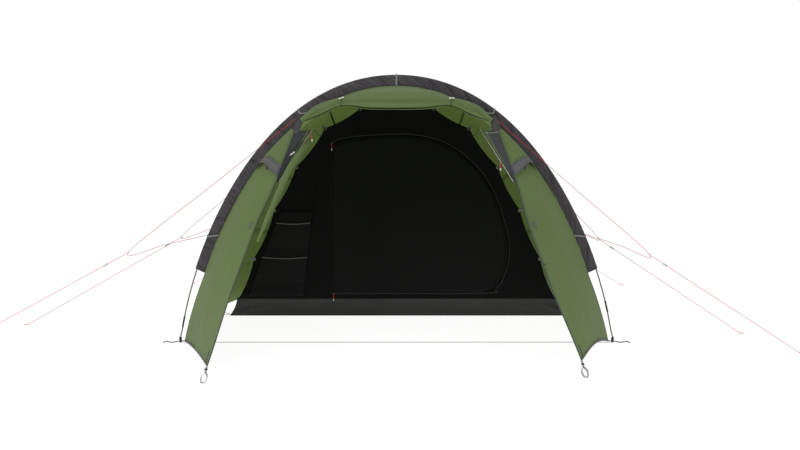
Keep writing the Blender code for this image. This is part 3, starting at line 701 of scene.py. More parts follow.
def ring_axes(path, i):
    """Return two directions square to a path at one of its points."""
    run = (path[min(i + 1, len(path) - 1)] - path[max(i - 1, 0)]).normalized()
    side = run.cross(Vector((0.0, 0.0, 1.0)))
    if side.length < 0.05:
        side = run.cross(Vector((0.0, 1.0, 0.0)))
    side.normalize()
    return side, run.cross(side).normalized()


def add_tube(shape, path, radii, sides=10, turned=0.0):
    """Add a round tube along a path to a shape."""
    rows = []
    across = []
    down = []
    length = 0.0
    for i, point in enumerate(path):
        side, up = ring_axes(path, i)
        radius = radii if isinstance(radii, float) else radii[i]
        angles = [2 * math.pi * k / sides + turned * i for k in range(sides)]
        rows.append([point + side * (radius * math.cos(a)) + up * (radius * math.sin(a)) for a in angles])
        length += (path[i] - path[i - 1]).length if i else 0.0
        across.append([2 * math.pi * radius * k / sides for k in range(sides + 1)])
        down.append([length] * (sides + 1))
    shape.rows(rows, across, down, around=True, caps=True)


def add_ribbon(shape, path, wide, width, thickness=0.0012):
    """Add a flat strap along a path; wide gives the direction across it at each point."""
    rows = []
    across = []
    down = []
    length = 0.0
    half = width / 2
    for i, point in enumerate(path):
        run = (path[min(i + 1, len(path) - 1)] - path[max(i - 1, 0)]).normalized()
        over = wide[i] if isinstance(wide, list) else wide
        over = (over - run * over.dot(run)).normalized()
        up = run.cross(over) * (thickness / 2)
        rows.append([point - over * half, point - over * half * 0.86 + up, point + over * half * 0.86 + up,
                     point + over * half, point + over * half * 0.86 - up, point - over * half * 0.86 - up])
        length += (path[i] - path[i - 1]).length if i else 0.0
        across.append([-half, -half * 0.86, half * 0.86, half, half * 0.86, -half * 0.86, -half])
        down.append([length] * 7)
    shape.rows(rows, across, down, around=True, caps=True)


def smooth_path(route, count):
    """Return points along a smooth curve through the route's own points."""
    route = [Vector(p) for p in route]
    padded = [route[0] * 2 - route[1]] + route + [route[-1] * 2 - route[-2]]
    points = []
    for value in spread(0.0, len(route) - 1.0001, count):
        i = int(value)
        t = value - i
        a, b, c, d = padded[i:i + 4]
        curve = 2 * b + (c - a) * t + (2 * a - 5 * b + 4 * c - d) * t ** 2 + (3 * b - a - 3 * c + d) * t ** 3
        points.append(curve / 2)
    return points


def path_length(points):
    """Return the length of a path."""
    return sum((b - a).length for a, b in zip(points, points[1:]))


# --------------------------------------------------------------- hoop curves
def hoop_point(hoop, side):
    """Return the pole's centre at side, from -1 at the left foot to 1 at the right."""
    t = abs(side)
    u = 1.0 - t
    x = 3 * u * u * t * CROWN_HANDLE + 3 * u * t * t * SHOULDER[0] + t ** 3
    z = u ** 3 + 3 * u * u * t + 3 * u * t * t * SHOULDER[1]
    return Vector((math.copysign(x, side) * hoop.half, hoop.y, z * hoop.height))


def hoop_outward(hoop, side):
    """Return the unit direction away from the tent, square to the pole."""
    step = 0.002
    run = hoop_point(hoop, min(side + step, 1.0)) - hoop_point(hoop, max(side - step, -1.0))
    return Vector((-run.z, 0.0, run.x)).normalized()


def side_at(hoop, height):
    """Return the positive side value where the pole passes a height."""
    low, high = 0.0, 1.0
    for _ in range(40):
        middle = (low + high) / 2
        if hoop_point(hoop, middle).z > height:
            low = middle
        else:
            high = middle
    return low


def near_hoop(hoop, side, outward, forward):
    """Return a point beside the pole, outward from it and along the tent."""
    return hoop_point(hoop, side) + hoop_outward(hoop, side) * outward + Vector((0.0, forward, 0.0))


def even_sides(hoop, first, last, count):
    """Return side values that are an equal distance apart along the pole."""
    fine = spread(first, last, 400)
    points = [hoop_point(hoop, side) for side in fine]
    travel = [0.0]
    for a, b in zip(points, points[1:]):
        travel.append(travel[-1] + (b - a).length)
    sides = []
    i = 0
    for target in spread(0.0, travel[-1], count):
        while i < len(travel) - 2 and travel[i + 1] < target:
            i += 1
        share = (target - travel[i]) / max(travel[i + 1] - travel[i], 1e-9)
        sides.append(fine[i] + (fine[i + 1] - fine[i]) * min(share, 1.0))
    return sides


# --------------------------------------------------------------------- stage
class TENT_OT_stage(bpy.types.Operator):
    """Make the pale floor, the soft studio light and the camera"""
    bl_idname = "tent.stage"
    bl_label = "Stage"

    def execute(self, context):
        scene = context.scene
        scene.view_settings.view_transform = "Standard"
        add_camera(scene)
        add_floor()
        add_sky(scene)
        add_softbox("key light", (-3.6, FRONT_Y - 4.6, 5.0), (0.0, FRONT_Y + 0.4, 0.7), 4.2, 110.0)
        for side in (-1, 1):
            place = (side * 3.6, FRONT_Y - 3.4, 0.9)
            add_softbox("low fill light", place, (side * 1.1, FRONT_Y - 0.6, 0.15), 1.6, 46.0)
        add_softbox("top light", (0.0, 0.8, 6.5), (0.0, 0.6, 0.0), 5.0, 130.0)
        return {"FINISHED"}


CAMERA_DISTANCE = 7.14
CAMERA_HEIGHT = 1.224
CAMERA_ASIDE = 0.0225
CAMERA_PITCH = 3.70


def add_camera(scene):
    """The camera stands in front at chest height and looks slightly down."""
    data = bpy.data.cameras.new("camera")
    data.lens = 50.0
    data.sensor_width = 36.0
    data.clip_end = 200.0
    camera = bpy.data.objects.new("camera", data)
    camera.location = (CAMERA_ASIDE, FRONT_Y - CAMERA_DISTANCE, CAMERA_HEIGHT)
    camera.rotation_euler = (math.radians(90.0 - CAMERA_PITCH), 0.0, 0.0)
    bpy.context.collection.objects.link(camera)
    scene.camera = camera


def add_floor():
    """A wide, almost white floor."""
    mesh = bpy.data.meshes.new("floor")
    half = 60.0
    mesh.from_pydata([(-half, -half, 0.0), (half, -half, 0.0), (half, half, 0.0), (-half, half, 0.0)], [],
                     [(0, 1, 2, 3)])
    look = Look("pale floor", 0.9)
    shade = look.mix(look.noise(look.object_place(), 0.7), (0.15, 0.15, 0.15, 1.0), (0.17, 0.17, 0.17, 1.0))
    look.paint("Base Color", shade)
    look.shader.inputs["Emission Color"].default_value = (1.0, 1.0, 1.0, 1.0)
    look.shader.inputs["Emission Strength"].default_value = 0.93
    look.shader.inputs["Specular IOR Level"].default_value = 0.0
    mesh.materials.append(look.material)
    floor = bpy.data.objects.new("floor", mesh)
    bpy.context.collection.objects.link(floor)


def add_sky(scene):
    """Even white light all round, softer from overhead."""
    world = bpy.data.worlds.new("studio")
    world.use_nodes = True
    background = world.node_tree.nodes["Background"]
    background.inputs["Color"].default_value = (1.0, 1.0, 1.0, 1.0)
    path = world.node_tree.nodes.new("ShaderNodeLightPath")
    level = world.node_tree.nodes.new("ShaderNodeMapRange")
    level.inputs["To Min"].default_value = 0.50
    level.inputs["To Max"].default_value = 1.02
    world.node_tree.links.new(path.outputs["Is Camera Ray"], level.inputs["Value"])
    world.node_tree.links.new(level.outputs["Result"], background.inputs["Strength"])
    scene.world = world


def add_softbox(name, place, target, size, power):
    """A square soft light that faces a point."""
    data = bpy.data.lights.new(name, "AREA")
    data.size = size
    data.energy = power
    lamp = bpy.data.objects.new(name, data)
    lamp.location = place
    lamp.rotation_euler = (Vector(target) - Vector(place)).to_track_quat("-Z", "Y").to_euler()
    bpy.context.collection.objects.link(lamp)


# ----------------------------------------------------------------- guy lines
class TENT_OT_guys(bpy.types.Operator):
    """Make the guy lines with their bridles, rings, line runners and end loops"""
    bl_idname = "tent.guys"
    bl_label = "Guy lines"

    def execute(self, context):
        for name, (upper, knot, lower, end, runner_at) in GUYS.items():
            upper, knot, lower, end = Vector(upper), Vector(knot), Vector(lower), Vector(end)
            along = (end - knot).normalized()
            start = knot + along * 0.012
            ring = add_guy_ring(name.replace("guy", "ring"), knot)
            bridle = add_cord(name.replace("guy", "bridle"),
                              [upper, upper.lerp(knot, 0.5), knot, knot.lerp(lower, 0.5), lower])
            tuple(upper)
            path_length(bridle_points(upper, knot, lower))
            finish_guy(name, start, end, knot + along * runner_at, along)
        for name, (upper, end, runner_at) in REAR_GUYS.items():
            upper, end = Vector(upper), Vector(end)
            along = (end - upper).normalized()
            finish_guy(name, upper, end, upper + along * runner_at, along)
        return {"FINISHED"}


def bridle_points(upper, knot, lower):
    """Return the smooth line of a bridle through its ring."""
    return smooth_path([upper, upper.lerp(knot, 0.5), knot, knot.lerp(lower, 0.5), lower], 25)


def add_cord(name, route):
    """A braided cord as one open curve."""
    curve = bpy.data.curves.new(name, "CURVE")
    curve.dimensions = "3D"
    curve.bevel_depth = sizes().cord / 2
    curve.bevel_resolution = 3
    curve.use_fill_caps = True
    spline = curve.splines.new("POLY")
    points = smooth_path(route, 25)
    spline.points.add(len(points) - 1)
    for place, point in zip(spline.points, points):
        place.co = (*point, 1.0)
    curve.materials.append(braid(*colours().red))
    cord = bpy.data.objects.new(name, curve)
    bpy.context.collection.objects.link(cord)
    return settle(cord, "tent", [name])


def finish_guy(name, start, end, runner_place, along):
    guy = add_cord(name, [start, start.lerp(end, 0.5), end])
    runner = add_runner(name.replace("guy", "runner"), runner_place, along)
    loop = add_end_loop(name.replace("guy", "peg_eye"), end, along)
    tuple(start)
    (end - start).length


def edit_new(add_primitive, **settings):
    """Deselect everything, add a primitive and open it in edit mode."""
    if bpy.context.object and bpy.context.object.mode != "OBJECT":
        bpy.ops.object.mode_set(mode="OBJECT")
    bpy.ops.object.select_all(action="DESELECT")
    add_primitive(**settings)
    made = bpy.context.object
    bpy.ops.object.mode_set(mode="EDIT")
    bpy.ops.mesh.select_all(action="DESELECT")
    return made


def pick(made, kind, test):
    """Select the vertices, edges or faces whose middle passes a test."""
    bpy.ops.mesh.select_mode(type=kind)
    bpy.ops.mesh.select_all(action="DESELECT")
    shape = bmesh.from_edit_mesh(made.data)
    parts = {"VERT": shape.verts, "EDGE": shape.edges, "FACE": shape.faces}[kind]
    for part in parts:
        if kind == "VERT":
            middle = part.co
        elif kind == "EDGE":
            middle = (part.verts[0].co + part.verts[1].co) / 2
        else:
            middle = part.calc_center_median()
        if test(middle, part):
            part.select_set(True)
    shape.select_flush_mode()
    bmesh.update_edit_mesh(made.data)


def off_axis(place):
    """Return how far a point stands from the upright axis."""
    return math.hypot(place.x, place.y)


def close_edit(made, name, look, smooth=35):
    """Leave edit mode with clean outward faces and the finish on."""
    bpy.ops.mesh.select_all(action="SELECT")
    bpy.ops.mesh.normals_make_consistent(inside=False)
    bpy.ops.object.mode_set(mode="OBJECT")
    bpy.ops.object.shade_smooth_by_angle(angle=math.radians(smooth))
    made.name = name
    made.data.name = name
    made.data.materials.clear()
    made.data.materials.append(look)
    return made


def lay_in_place(made, place, direction, roll=0.0):
    """Turn a piece that was modelled along Z and move it, all in its mesh."""
    turn = Vector((0.0, 0.0, 1.0)).rotation_difference(Vector(direction).normalized()).to_matrix().to_4x4()
    own = made.matrix_world.copy()
    made.matrix_world = Matrix.Identity(4)
    made.data.transform(Matrix.Translation(place) @ turn @ Matrix.Rotation(roll, 4, "Z") @ own)
    return made


def bisect_at(heights):
    """Cut the whole mesh at some heights."""
    for height in heights:
        bpy.ops.mesh.select_all(action="SELECT")
        bpy.ops.mesh.bisect(plane_co=(0.0, 0.0, height), plane_no=(0.0, 0.0, 1.0))


def add_runner(name, place, along):
    """A line runner: a barrel with two grips and a bore that the doubled cord passes through."""
    made = edit_new(bpy.ops.mesh.primitive_cylinder_add, vertices=20, radius=0.0066, depth=0.032)
    pick(made, "FACE", lambda middle, face: abs(middle.z) > 0.0155)
    bpy.ops.mesh.inset(thickness=0.0038, depth=0.0)
    bpy.ops.mesh.delete(type="FACE")
    pick(made, "EDGE", lambda middle, edge: edge.is_boundary)
    bpy.ops.mesh.bridge_edge_loops()
    bisect_at((-0.011, -0.006, -0.002, 0.002, 0.006, 0.011))
    pick(made, "VERT", lambda middle, vertex: 0.0035 < off_axis(middle) and abs(middle.z) < 0.003)
    bpy.ops.transform.resize(value=(0.72, 0.72, 1.0))
    pick(made, "VERT", lambda middle, vertex: 0.0035 < off_axis(middle) and abs(middle.z) > 0.015)
    bpy.ops.transform.resize(value=(0.78, 0.78, 1.0))
    pick(made, "EDGE", lambda middle, edge: abs(abs(middle.z) - 0.006) < 0.0003
         and math.hypot(middle.x, middle.y) > 0.004)
    bpy.ops.mesh.bevel(offset=0.0009, segments=2)
    close_edit(made, name, plastic("runner plastic", 0.50, 0.50, 0.48, 0.42))
    lay_in_place(made, place, along)
    # the piece takes the CAD runner's name for its own, with a word that tells them apart
    made.name = name + "_body"
    return settle(made, name, [name])


def add_guy_ring(name, place):
    """The small ring that joins the bridle to the guy."""
    made = edit_new(bpy.ops.mesh.primitive_circle_add, vertices=10, radius=0.0014,
                    location=(0.0085, 0.0, 0.0), rotation=(math.pi / 2, 0.0, 0.0), fill_type="NOTHING")
    bpy.ops.mesh.select_all(action="SELECT")
    bpy.ops.mesh.spin(steps=24, angle=2 * math.pi, center=(0.0, 0.0, 0.0), axis=(0.0, 0.0, 1.0))
    bpy.ops.mesh.select_all(action="SELECT")
    bpy.ops.mesh.remove_doubles(threshold=0.00005)
    close_edit(made, name, metal("ring metal", 0.55, 0.35))
    lay_in_place(made, Vector(place), Vector((0.0, 1.0, 0.0)))
    return settle(made, "tent")


def add_end_loop(name, end, along):
    """The eye at the guy's end, tied with a knot, that goes over a peg."""
    shape = Shape()
    side = Vector((-along.y, along.x, 0.0)).normalized()
    eye = []
    for turn in spread(0.0, 2 * math.pi, 17):
        eye.append(end + Vector((along.x, along.y, 0.0)).normalized() * (0.012 - 0.012 * math.cos(turn))
                   + side * (0.007 * math.sin(turn)) + Vector((0.0, 0.0, 0.0005)))
    add_tube(shape, eye, 0.0014, 8)
    back = end - along * 0.010
    add_knot(shape, back, along, 0.0042)
    return shape.finish(name, braid(*colours().red), slot="guy_cord")


def add_knot(shape, place, along, size):
    """A small overhand knot."""
    side, up = ring_axes([place, place + along * 0.01], 0)
    run = along.normalized()
    path = []
    for turn in spread(0.0, 2 * math.pi, 37):
        a = math.sin(turn) + 2 * math.sin(2 * turn)
        b = math.cos(turn) - 2 * math.cos(2 * turn)
        c = -math.sin(3 * turn)
        path.append(place + (side * a + run * b + up * c) * (size / 3))
    add_tube(shape, path, 0.0013, 7)


# --------------------------------------------------------------------- poles
class TENT_OT_poles(bpy.types.Operator):
    """Finish the poles and their feet, and add the tails at the front feet"""
    bl_idname = "tent.poles"
    bl_label = "Poles"

    def execute(self, context):
        plain = pole_finish("wrapped pole", -1.0, -0.9)
        for name in ("front_pole_crown", "middle_pole", "rear_pole"):
            paint_node(name, plain)
        for word, side in (("left", -1), ("right", 1)):
            level = SOCKET_HEIGHT[side]
            paint_node("front_pole_leg_" + word, pole_finish("wrapped pole, " + word + " joint",
                                                             level - 0.041, level + 0.035))
            paint_node("front_foot_" + word, plastic("foot plastic", 0.016, 0.017, 0.016, 0.5))
            add_foot_tail(word, side)
        return {"FINISHED"}


def paint_node(name, look):
    """Give a frame part a finish."""
    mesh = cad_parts[name].data
    mesh.materials.clear()
    mesh.materials.append(look)


def add_foot_tail(word, side):
    """The strap from the wing's lower corner through the foot, with its loose tail."""
    foot = hoop_point(FRONT, side)
    corner = wing_point(side, 1.0, 0.0)
    shape = Shape()
    lift = Vector((0.0, 0.0, 0.004))
    inner = foot + Vector((-side * 0.012, -0.010, 0.014))
    path = smooth_path([corner + Vector((0.0, -0.004, 0.002)), corner.lerp(inner, 0.5) - lift, inner], 9)
    add_ribbon(shape, path, Vector((0.0, 1.0, 0.4)), sizes().webbing)
    out = [foot + Vector((side * 0.011, -0.008, 0.010)), foot + Vector((side * 0.050, -0.022, 0.004)),
           foot + Vector((side * 0.085, -0.030, 0.012)), foot + Vector((side * 0.105, -0.042, 0.004))]
    add_ribbon(shape, smooth_path(out, 14), Vector((0.1, 1.0, 0.6)), 0.012, 0.0018)
    shape.finish("foot_tail_" + word, webbing(1.2), slot="webbing")


# ------------------------------------------------------------------- sleeves
class TENT_OT_sleeves(bpy.types.Operator):
    """Make the front band, the other sleeves and the straps at the guy points"""
    bl_idname = "tent.sleeves"
    bl_label = "Sleeves"

    def execute(self, context):
        add_front_band()
        add_closed_sleeve("middle_sleeve", MIDDLE)
        add_closed_sleeve("rear_sleeve", REAR)
        add_band_straps()
        add_rear_straps()
        return {"FINISHED"}


def fold_points(last_angle, step=15):
    """Return (outward, forward) points round the pole, from its underside over the back and top."""
    angles = [math.radians(a) for a in range(165, last_angle - 1, -step)]
    return [(SLEEVE_RISE * math.cos(a), SLEEVE_HALF_WIDTH * math.sin(a)) for a in angles]


def section_surface(profile, hoop, sides):
    """Return a surface that sweeps a section along a hoop."""
    lengths = [0.0]
    for a, b in zip(profile, profile[1:]):
        lengths.append(lengths[-1] + math.dist(a, b))

    def surface(u, v):
        target = v * lengths[-1]
        i = 0
        while i < len(lengths) - 2 and lengths[i + 1] < target:
            i += 1
        share = (target - lengths[i]) / (lengths[i + 1] - lengths[i])
        outward = profile[i][0] + (profile[i + 1][0] - profile[i][0]) * share
        forward = profile[i][1] + (profile[i + 1][1] - profile[i][1]) * share
        side = sides[min(int(round(u * (len(sides) - 1))), len(sides) - 1)]
        return near_hoop(hoop, side, outward, forward)
    return surface


def add_front_band():
    """The dark band over the entrance, puckered along its outer seam."""
    end = side_at(FRONT, FRONT.sleeve_end)
    sides = even_sides(FRONT, -end, end, 840)
    profile = fold_points(-90)
    edge = (-BAND_DEPTH, -BAND_REACH)
    start = profile[-1]
    profile += [(start[0] + (edge[0] - start[0]) * k / 10, start[1] + (edge[1] - start[1]) * k / 10)
                for k in range(1, 11)]
    height = sizes().gather

    def relief(u, v, along, across):
        loose = ease((v - 0.52) / 0.14) * (0.45 + 0.55 * ease((1.02 - v) / 0.20))
        lean = along * 38.0 + across * 20.0 * (1 if u < 0.5 else -1)
        busy = 0.45 + 0.55 * ease(abs(noise.noise(Vector((along * 1.3, 3.7, 0.0)))) * 3.0)
        pucker = fold(lean, across * 7.0, 1.0) - 0.35
        large = ripple(along * 6.0, across * 5.0, 2.0)
        corner = math.exp(-((u - 0.655) / 0.035) ** 2) + 0.6 * math.exp(-((u - 0.20) / 0.05) ** 2)
        pulled = corner * fold(lean * 0.45, 1.0, 5.0) * 1.3
        return loose * height * (pucker * busy * 0.9 + large * 0.7 + pulled)

    add_cloth("front_band", section_surface(profile, FRONT, sides), 26, 840, band_cloth(), relief,
              slot="sleeve_fabric", replaces=["front_sleeve"], rests_on=["front_pole_crown"],
              smooth=ALL_SMOOTH)


def add_closed_sleeve(name, hoop):
    """A pole sleeve, open by a narrow slot on its underside."""
    end = side_at(hoop, hoop.sleeve_end)
    sides = even_sides(hoop, -end, end, 320)

    def relief(u, v, along, across):
        return sizes().gather * 0.35 * fold(along * 24.0, across * 9.0, 4.0)

    add_cloth(name + "_cloth", section_surface(fold_points(-165), hoop, sides), 22, 320, band_cloth(), relief,
              slot="sleeve_fabric", replaces=[name], rests_on=[name.replace("sleeve", "pole")],
              smooth=ALL_SMOOTH)


def band_point(side, share, lift=0.0022):
    """Return a point just above the band: share 0 at the outer fold, 1 at its inner edge."""
    forward = -SLEEVE_HALF_WIDTH - (BAND_REACH - SLEEVE_HALF_WIDTH) * share
    return near_hoop(FRONT, side, -BAND_DEPTH * share, forward - lift * 1.6)


def add_band_straps():
    """Light straps over the band: one at the top, and a loop where each guy is tied."""
    shape = Shape()
    top = [near_hoop(FRONT, 0.0, 0.0135, 0.006), near_hoop(FRONT, 0.0, 0.0135, -0.012)]
    top += [band_point(0.0, share, 0.0035) for share in (0.06, 0.3, 0.6, 0.98)]
    add_ribbon(shape, smooth_path(top, 16), Vector((1.0, 0.0, 0.0)), sizes().webbing)
    shape.finish("top_strap", webbing(1.0), slot="webbing")
    for word, side in (("left", -1), ("right", 1)):
        place = side_at(FRONT, 1.492)
        shape = Shape()
        first = near_hoop(FRONT, side * (place - 0.004), 0.012, -0.010)
        second = band_point(side * place, 0.30, 0.0050)
        knot = Vector((side * abs(second.x), second.y - 0.002, second.z))
        third = band_point(side * (place - 0.030), 0.92, 0.0045)
        over = hoop_outward(FRONT, side * place).cross(Vector((0.0, 1.0, 0.0)))
        add_ribbon(shape, smooth_path([first, second], 6), over, sizes().webbing * 0.85)
        low_middle = knot.lerp(third, 0.5) + Vector((0.0, -0.002, -0.004))
        add_ribbon(shape, smooth_path([knot, low_middle, third], 8),
                   Vector((0.0, 0.3, 1.0)), sizes().webbing * 0.80)
        shape.finish("guy_strap_" + word, webbing(1.0), slot="webbing")
        shape = Shape()
        low = side_at(FRONT, 0.690)
        slope = side_at(FRONT, 0.725) - low
        path = [near_hoop(FRONT, side * low, 0.0135, 0.004), near_hoop(FRONT, side * low, 0.0135, -0.012)]
        path += [band_point(side * (low + slope * share), share, 0.0060) for share in (0.06, 0.4, 0.7, 1.0)]
        add_ribbon(shape, smooth_path(path, 14), Vector((0.0, 0.0, 1.0)), sizes().webbing)
        shape.finish("low_strap_" + word, webbing(0.85), slot="webbing")


def add_rear_straps():
    """Straps over the middle and rear sleeves where their guys are tied."""
    shape = Shape()
    for hoop, height in ((MIDDLE, 1.172), (MIDDLE, 0.700), (REAR, 0.745)):
        for side in (-1, 1):
            at = side * side_at(hoop, height)
            strap_rise, strap_half = SLEEVE_RISE + 0.0035, SLEEVE_HALF_WIDTH + 0.0030
            path = [near_hoop(hoop, at, strap_rise * math.cos(a), strap_half * math.sin(a))
                    for a in spread(-1.9, 1.9, 13)]
            along = hoop_outward(hoop, at).cross(Vector((0.0, 1.0, 0.0)))
            add_ribbon(shape, path, along, sizes().webbing)
    shape.finish("rear_straps", webbing(0.95), slot="webbing")


# ----------------------------------------------------------------------- fly
class TENT_OT_fly(bpy.types.Operator):
    """Make the roof panels between the hoops and the sloping rear end"""
    bl_idname = "tent.fly"
    bl_label = "Outer tent"

    def execute(self, context):
        for word, side in (("left", -1), ("right", 1)):
            add_bay("fly_porch_" + word, FRONT, MIDDLE, side, 70)
            add_bay("fly_sleeping_" + word, MIDDLE, REAR, side, 86)
            add_roof_seams(word, side)
        add_rear_end()
        return {"FINISHED"}


def bay_point(first, second, side, share):
    """Return a point of the roof between two hoops, drawn in a little between them."""
    a = hoop_point(first, side)
    b = hoop_point(second, side)
    point = a.lerp(b, share)
    pull = 1.0 - FLY_SAG * math.sin(math.pi * share)
    return Vector((point.x * pull, point.y, point.z * pull))


def roof_point(first, second, side, share):
    """Return a roof point whose edges pass under the sleeves."""
    length = second.y - first.y
    near = min(share, 1.0 - share) * length
    under = UNDER_SLEEVE * (1.0 - ease((near - 0.010) / 0.040))
    hoop = first if share < 0.5 else second
    return bay_point(first, second, side, share) - hoop_outward(hoop, side) * under


def wing_side_offset(at):
    """Return how far the wing's outer edge stands from the pole at a side value."""
    low = max(0.0, (0.50 - hoop_point(FRONT, at).z) / 0.50)
    edge = near_hoop(FRONT, at, -BAND_DEPTH - 0.004 + 0.038 * low, -BAND_REACH - 0.002 + 0.040 * low)
    return edge - hoop_point(FRONT, at)


def porch_point(side, share):
    """Return a roof point of the porch; below the band its front edge joins the wing."""
    point = roof_point(FRONT, MIDDLE, side, share)
    below = ease((0.56 - hoop_point(FRONT, side).z) / 0.08)
    if not below:
        return point
    drawn = bay_point(FRONT, MIDDLE, side, share) + wing_side_offset(side) * (1.0 - ease(share / 0.6))
    return point.lerp(drawn, below)


def add_bay(name, first, second, side, rows):
    """One half of the roof between two hoops, from the ridge to the hem."""
    edge = 0.003 / (second.y - first.y)
    hem = {0: side_at(first, FLY_HEM), 1: side_at(second, FLY_HEM)}
    drape = sizes().drape

    def surface(u, v):
        share = edge + (1.0 - 2 * edge) * v
        reach = hem[0] * (1 - share) + hem[1] * share
        at = side * (0.0002 + u * (reach - 0.0002))
        return porch_point(at, share) if first is FRONT else roof_point(first, second, at, share)

    def relief(u, v, along, across):
        free = ease(v / 0.06) * ease((1 - v) / 0.06) * ease(u / 0.03)
        pull = fold(along * 3.0 + across * 1.5, across * 1.1, 11.0 + side) - 0.3
        return free * drape * (0.9 * ripple(along * 1.6, across * 2.4, 6.0 + side) + 0.35 * pull)

    add_cloth(name + "_cloth", surface, rows, 130, roof_cloth(), relief, slot="fly_fabric", replaces=[name],
              rests_on=["middle_pole"], smooth=ALL_SMOOTH)


def add_roof_seams(word, side):
    """Taped seams that run the length of the roof."""
    shape = Shape()
    for first, second in ((FRONT, MIDDLE), (MIDDLE, REAR)):
        for at in (0.22, 0.46, 0.68):
            path = []
            wide = []
            for share in spread(0.035, 0.965, 40):
                out = hoop_outward(first, side * at)
                path.append(bay_point(first, second, side * at, share) + out * 0.0052)
                wide.append(out.cross(Vector((0.0, 1.0, 0.0))))
            add_ribbon(shape, path, wide, 0.014, 0.0008)
    shape.finish("roof_seams_" + word, green_cloth(), slot="fly_fabric")


def round_end(half, depth, side):
    """Return the offsets of a nearly square end, from one side round to the other."""
    turn = (1.0 - abs(side)) * math.pi / 2
    x = math.copysign(half * math.cos(turn) ** 0.55, side)
    return Vector((x, depth * math.sin(turn) ** 0.55, 0.0))


def add_rear_end():
    """The sloping end panel behind the rear hoop."""
    end = side_at(REAR, 0.110)
    half = hoop_point(REAR, end).x

    def surface(u, v):
        t = u * 2.0 - 1.0
        tucked = 1.0 - ease(v / 0.10)
        top = near_hoop(REAR, t * end, -UNDER_SLEEVE * tucked, 0.004)
        foot = round_end(half, FLY_REAR_DEPTH, t) + Vector((0.0, REAR_Y + 0.022, FLY_HEM))
        swell = Vector((0.0, 0.035, 0.020)) * math.sin(math.pi * v)
        return top.lerp(foot, v) + swell

    def relief(u, v, along, across):
        free = ease(v / 0.08)
        loose = ripple(along * 1.5, across * 2.0, 8.0) + 0.4 * fold(along * 4.0, across, 9.0)
        return free * sizes().drape * loose

    add_cloth("fly_rear_cloth", surface, 60, 200, green_cloth(), relief, slot="fly_fabric",
              replaces=["fly_rear"], rests_on=["rear_pole"], smooth=ALL_SMOOTH)


# --------------------------------------------------------------------- wings
class TENT_OT_wings(bpy.types.Operator):
    """Make the pegged-out wings with their piping, vent hoods, netting and patches"""
    bl_idname = "tent.wings"
    bl_label = "Porch wings"

    def execute(self, context):
        for word, side in (("left", -1), ("right", 1)):
            add_wing(word, side)
            add_wing_trim(word, side)
            add_hood(word, side)
            add_vent_net(word, side)
            paint_node("vent_strut_" + word, plastic("strut plastic", 0.045, 0.046, 0.048, 0.55))
            add_peg_loop(word, side)
        return {"FINISHED"}


def wing_point(side, down, across, lift=0.0):
    """Return a point of the porch wing: down 0 to 1, across from band to zip edge."""
    start = side_at(FRONT, 1.445)
    end = side_at(FRONT, 0.020)
    at = start + (end - start) * down
    low = max(0.0, (0.50 - hoop_point(FRONT, at).z) / 0.50)
    inset = BAND_DEPTH + 0.004 - 0.038 * low
    outer = near_hoop(FRONT, at, -inset, -BAND_REACH - 0.002 + 0.040 * low)
    tip = WING_TIP[side]
    share = (WING_APEX.z - outer.z) / (WING_APEX.z - tip.z)
    zipped = WING_APEX.lerp(tip, min(max(share, 0.0), 1.0))
    run = zipped - outer
    away = Vector((-run.y, run.x, 0.0)).normalized()
    away = away if away.y < 0 else -away
    arc = math.sin(math.pi * across)
    bulge = WING_BULGE * arc * math.sin(math.pi * min(down + 0.05, 1.0))
    point = outer.lerp(zipped, across) + away * (bulge + lift)
    point.z += HEM_RISE[side] * arc * down ** 6
    blown = EDGE_BLOWN * across * ease((down - 0.27) / 0.20) * ease((1.0 - down) / 0.35)
    return Vector((point.x * side - blown, point.y, point.z))


def wing_tuck(side, down, across):
    """Return the wing's edge strip carried on behind the band's inner edge."""
    start = side_at(FRONT, 1.445)
    end = side_at(FRONT, 0.020)
    at = start + (end - start) * down
    covered = 1.0 - ease((0.52 - hoop_point(FRONT, at).z) / 0.06)
    hidden = near_hoop(FRONT, at, -BAND_DEPTH + 0.0075, -BAND_REACH + 0.0095)
    hidden = Vector((hidden.x * side, hidden.y, hidden.z))
    return wing_point(side, down, 0.0).lerp(hidden, covered * (1.0 - across))


def add_wing(word, side):
    """A porch side panel, pulled forward to its peg."""
    drape = sizes().drape
    tuck = 0.03

    def surface(u, v):
        if u < tuck:
            return wing_tuck(side, v, u / tuck)
        return wing_point(side, v, (u - tuck) / (1.0 - tuck))

    def relief(u, v, along, across):
        free = ease(u / 0.10) * ease((1 - u) / 0.05) * ease(v / 0.04)
        wide = ripple(u * 2.2, v * 2.0, 21.0 + side)
        long_fold = fold(u * 4.5 + v * 0.8, v * 0.7, 23.0 + side) * ease((v - 0.15) / 0.3)
        near_tip = fold(u * 9.0, v * 1.2, 29.0 + side) * ease((v - 0.72) / 0.25)
        return -side * free * drape * (1.2 * wide + 0.50 * long_fold + 0.4 * near_tip)

    add_cloth("wing_cloth_" + word, surface, 150, 60, green_cloth(), relief, slot="fly_fabric",
              replaces=["wing_" + word], rests_on=["peg_loop_" + word], smooth=ALL_SMOOTH)


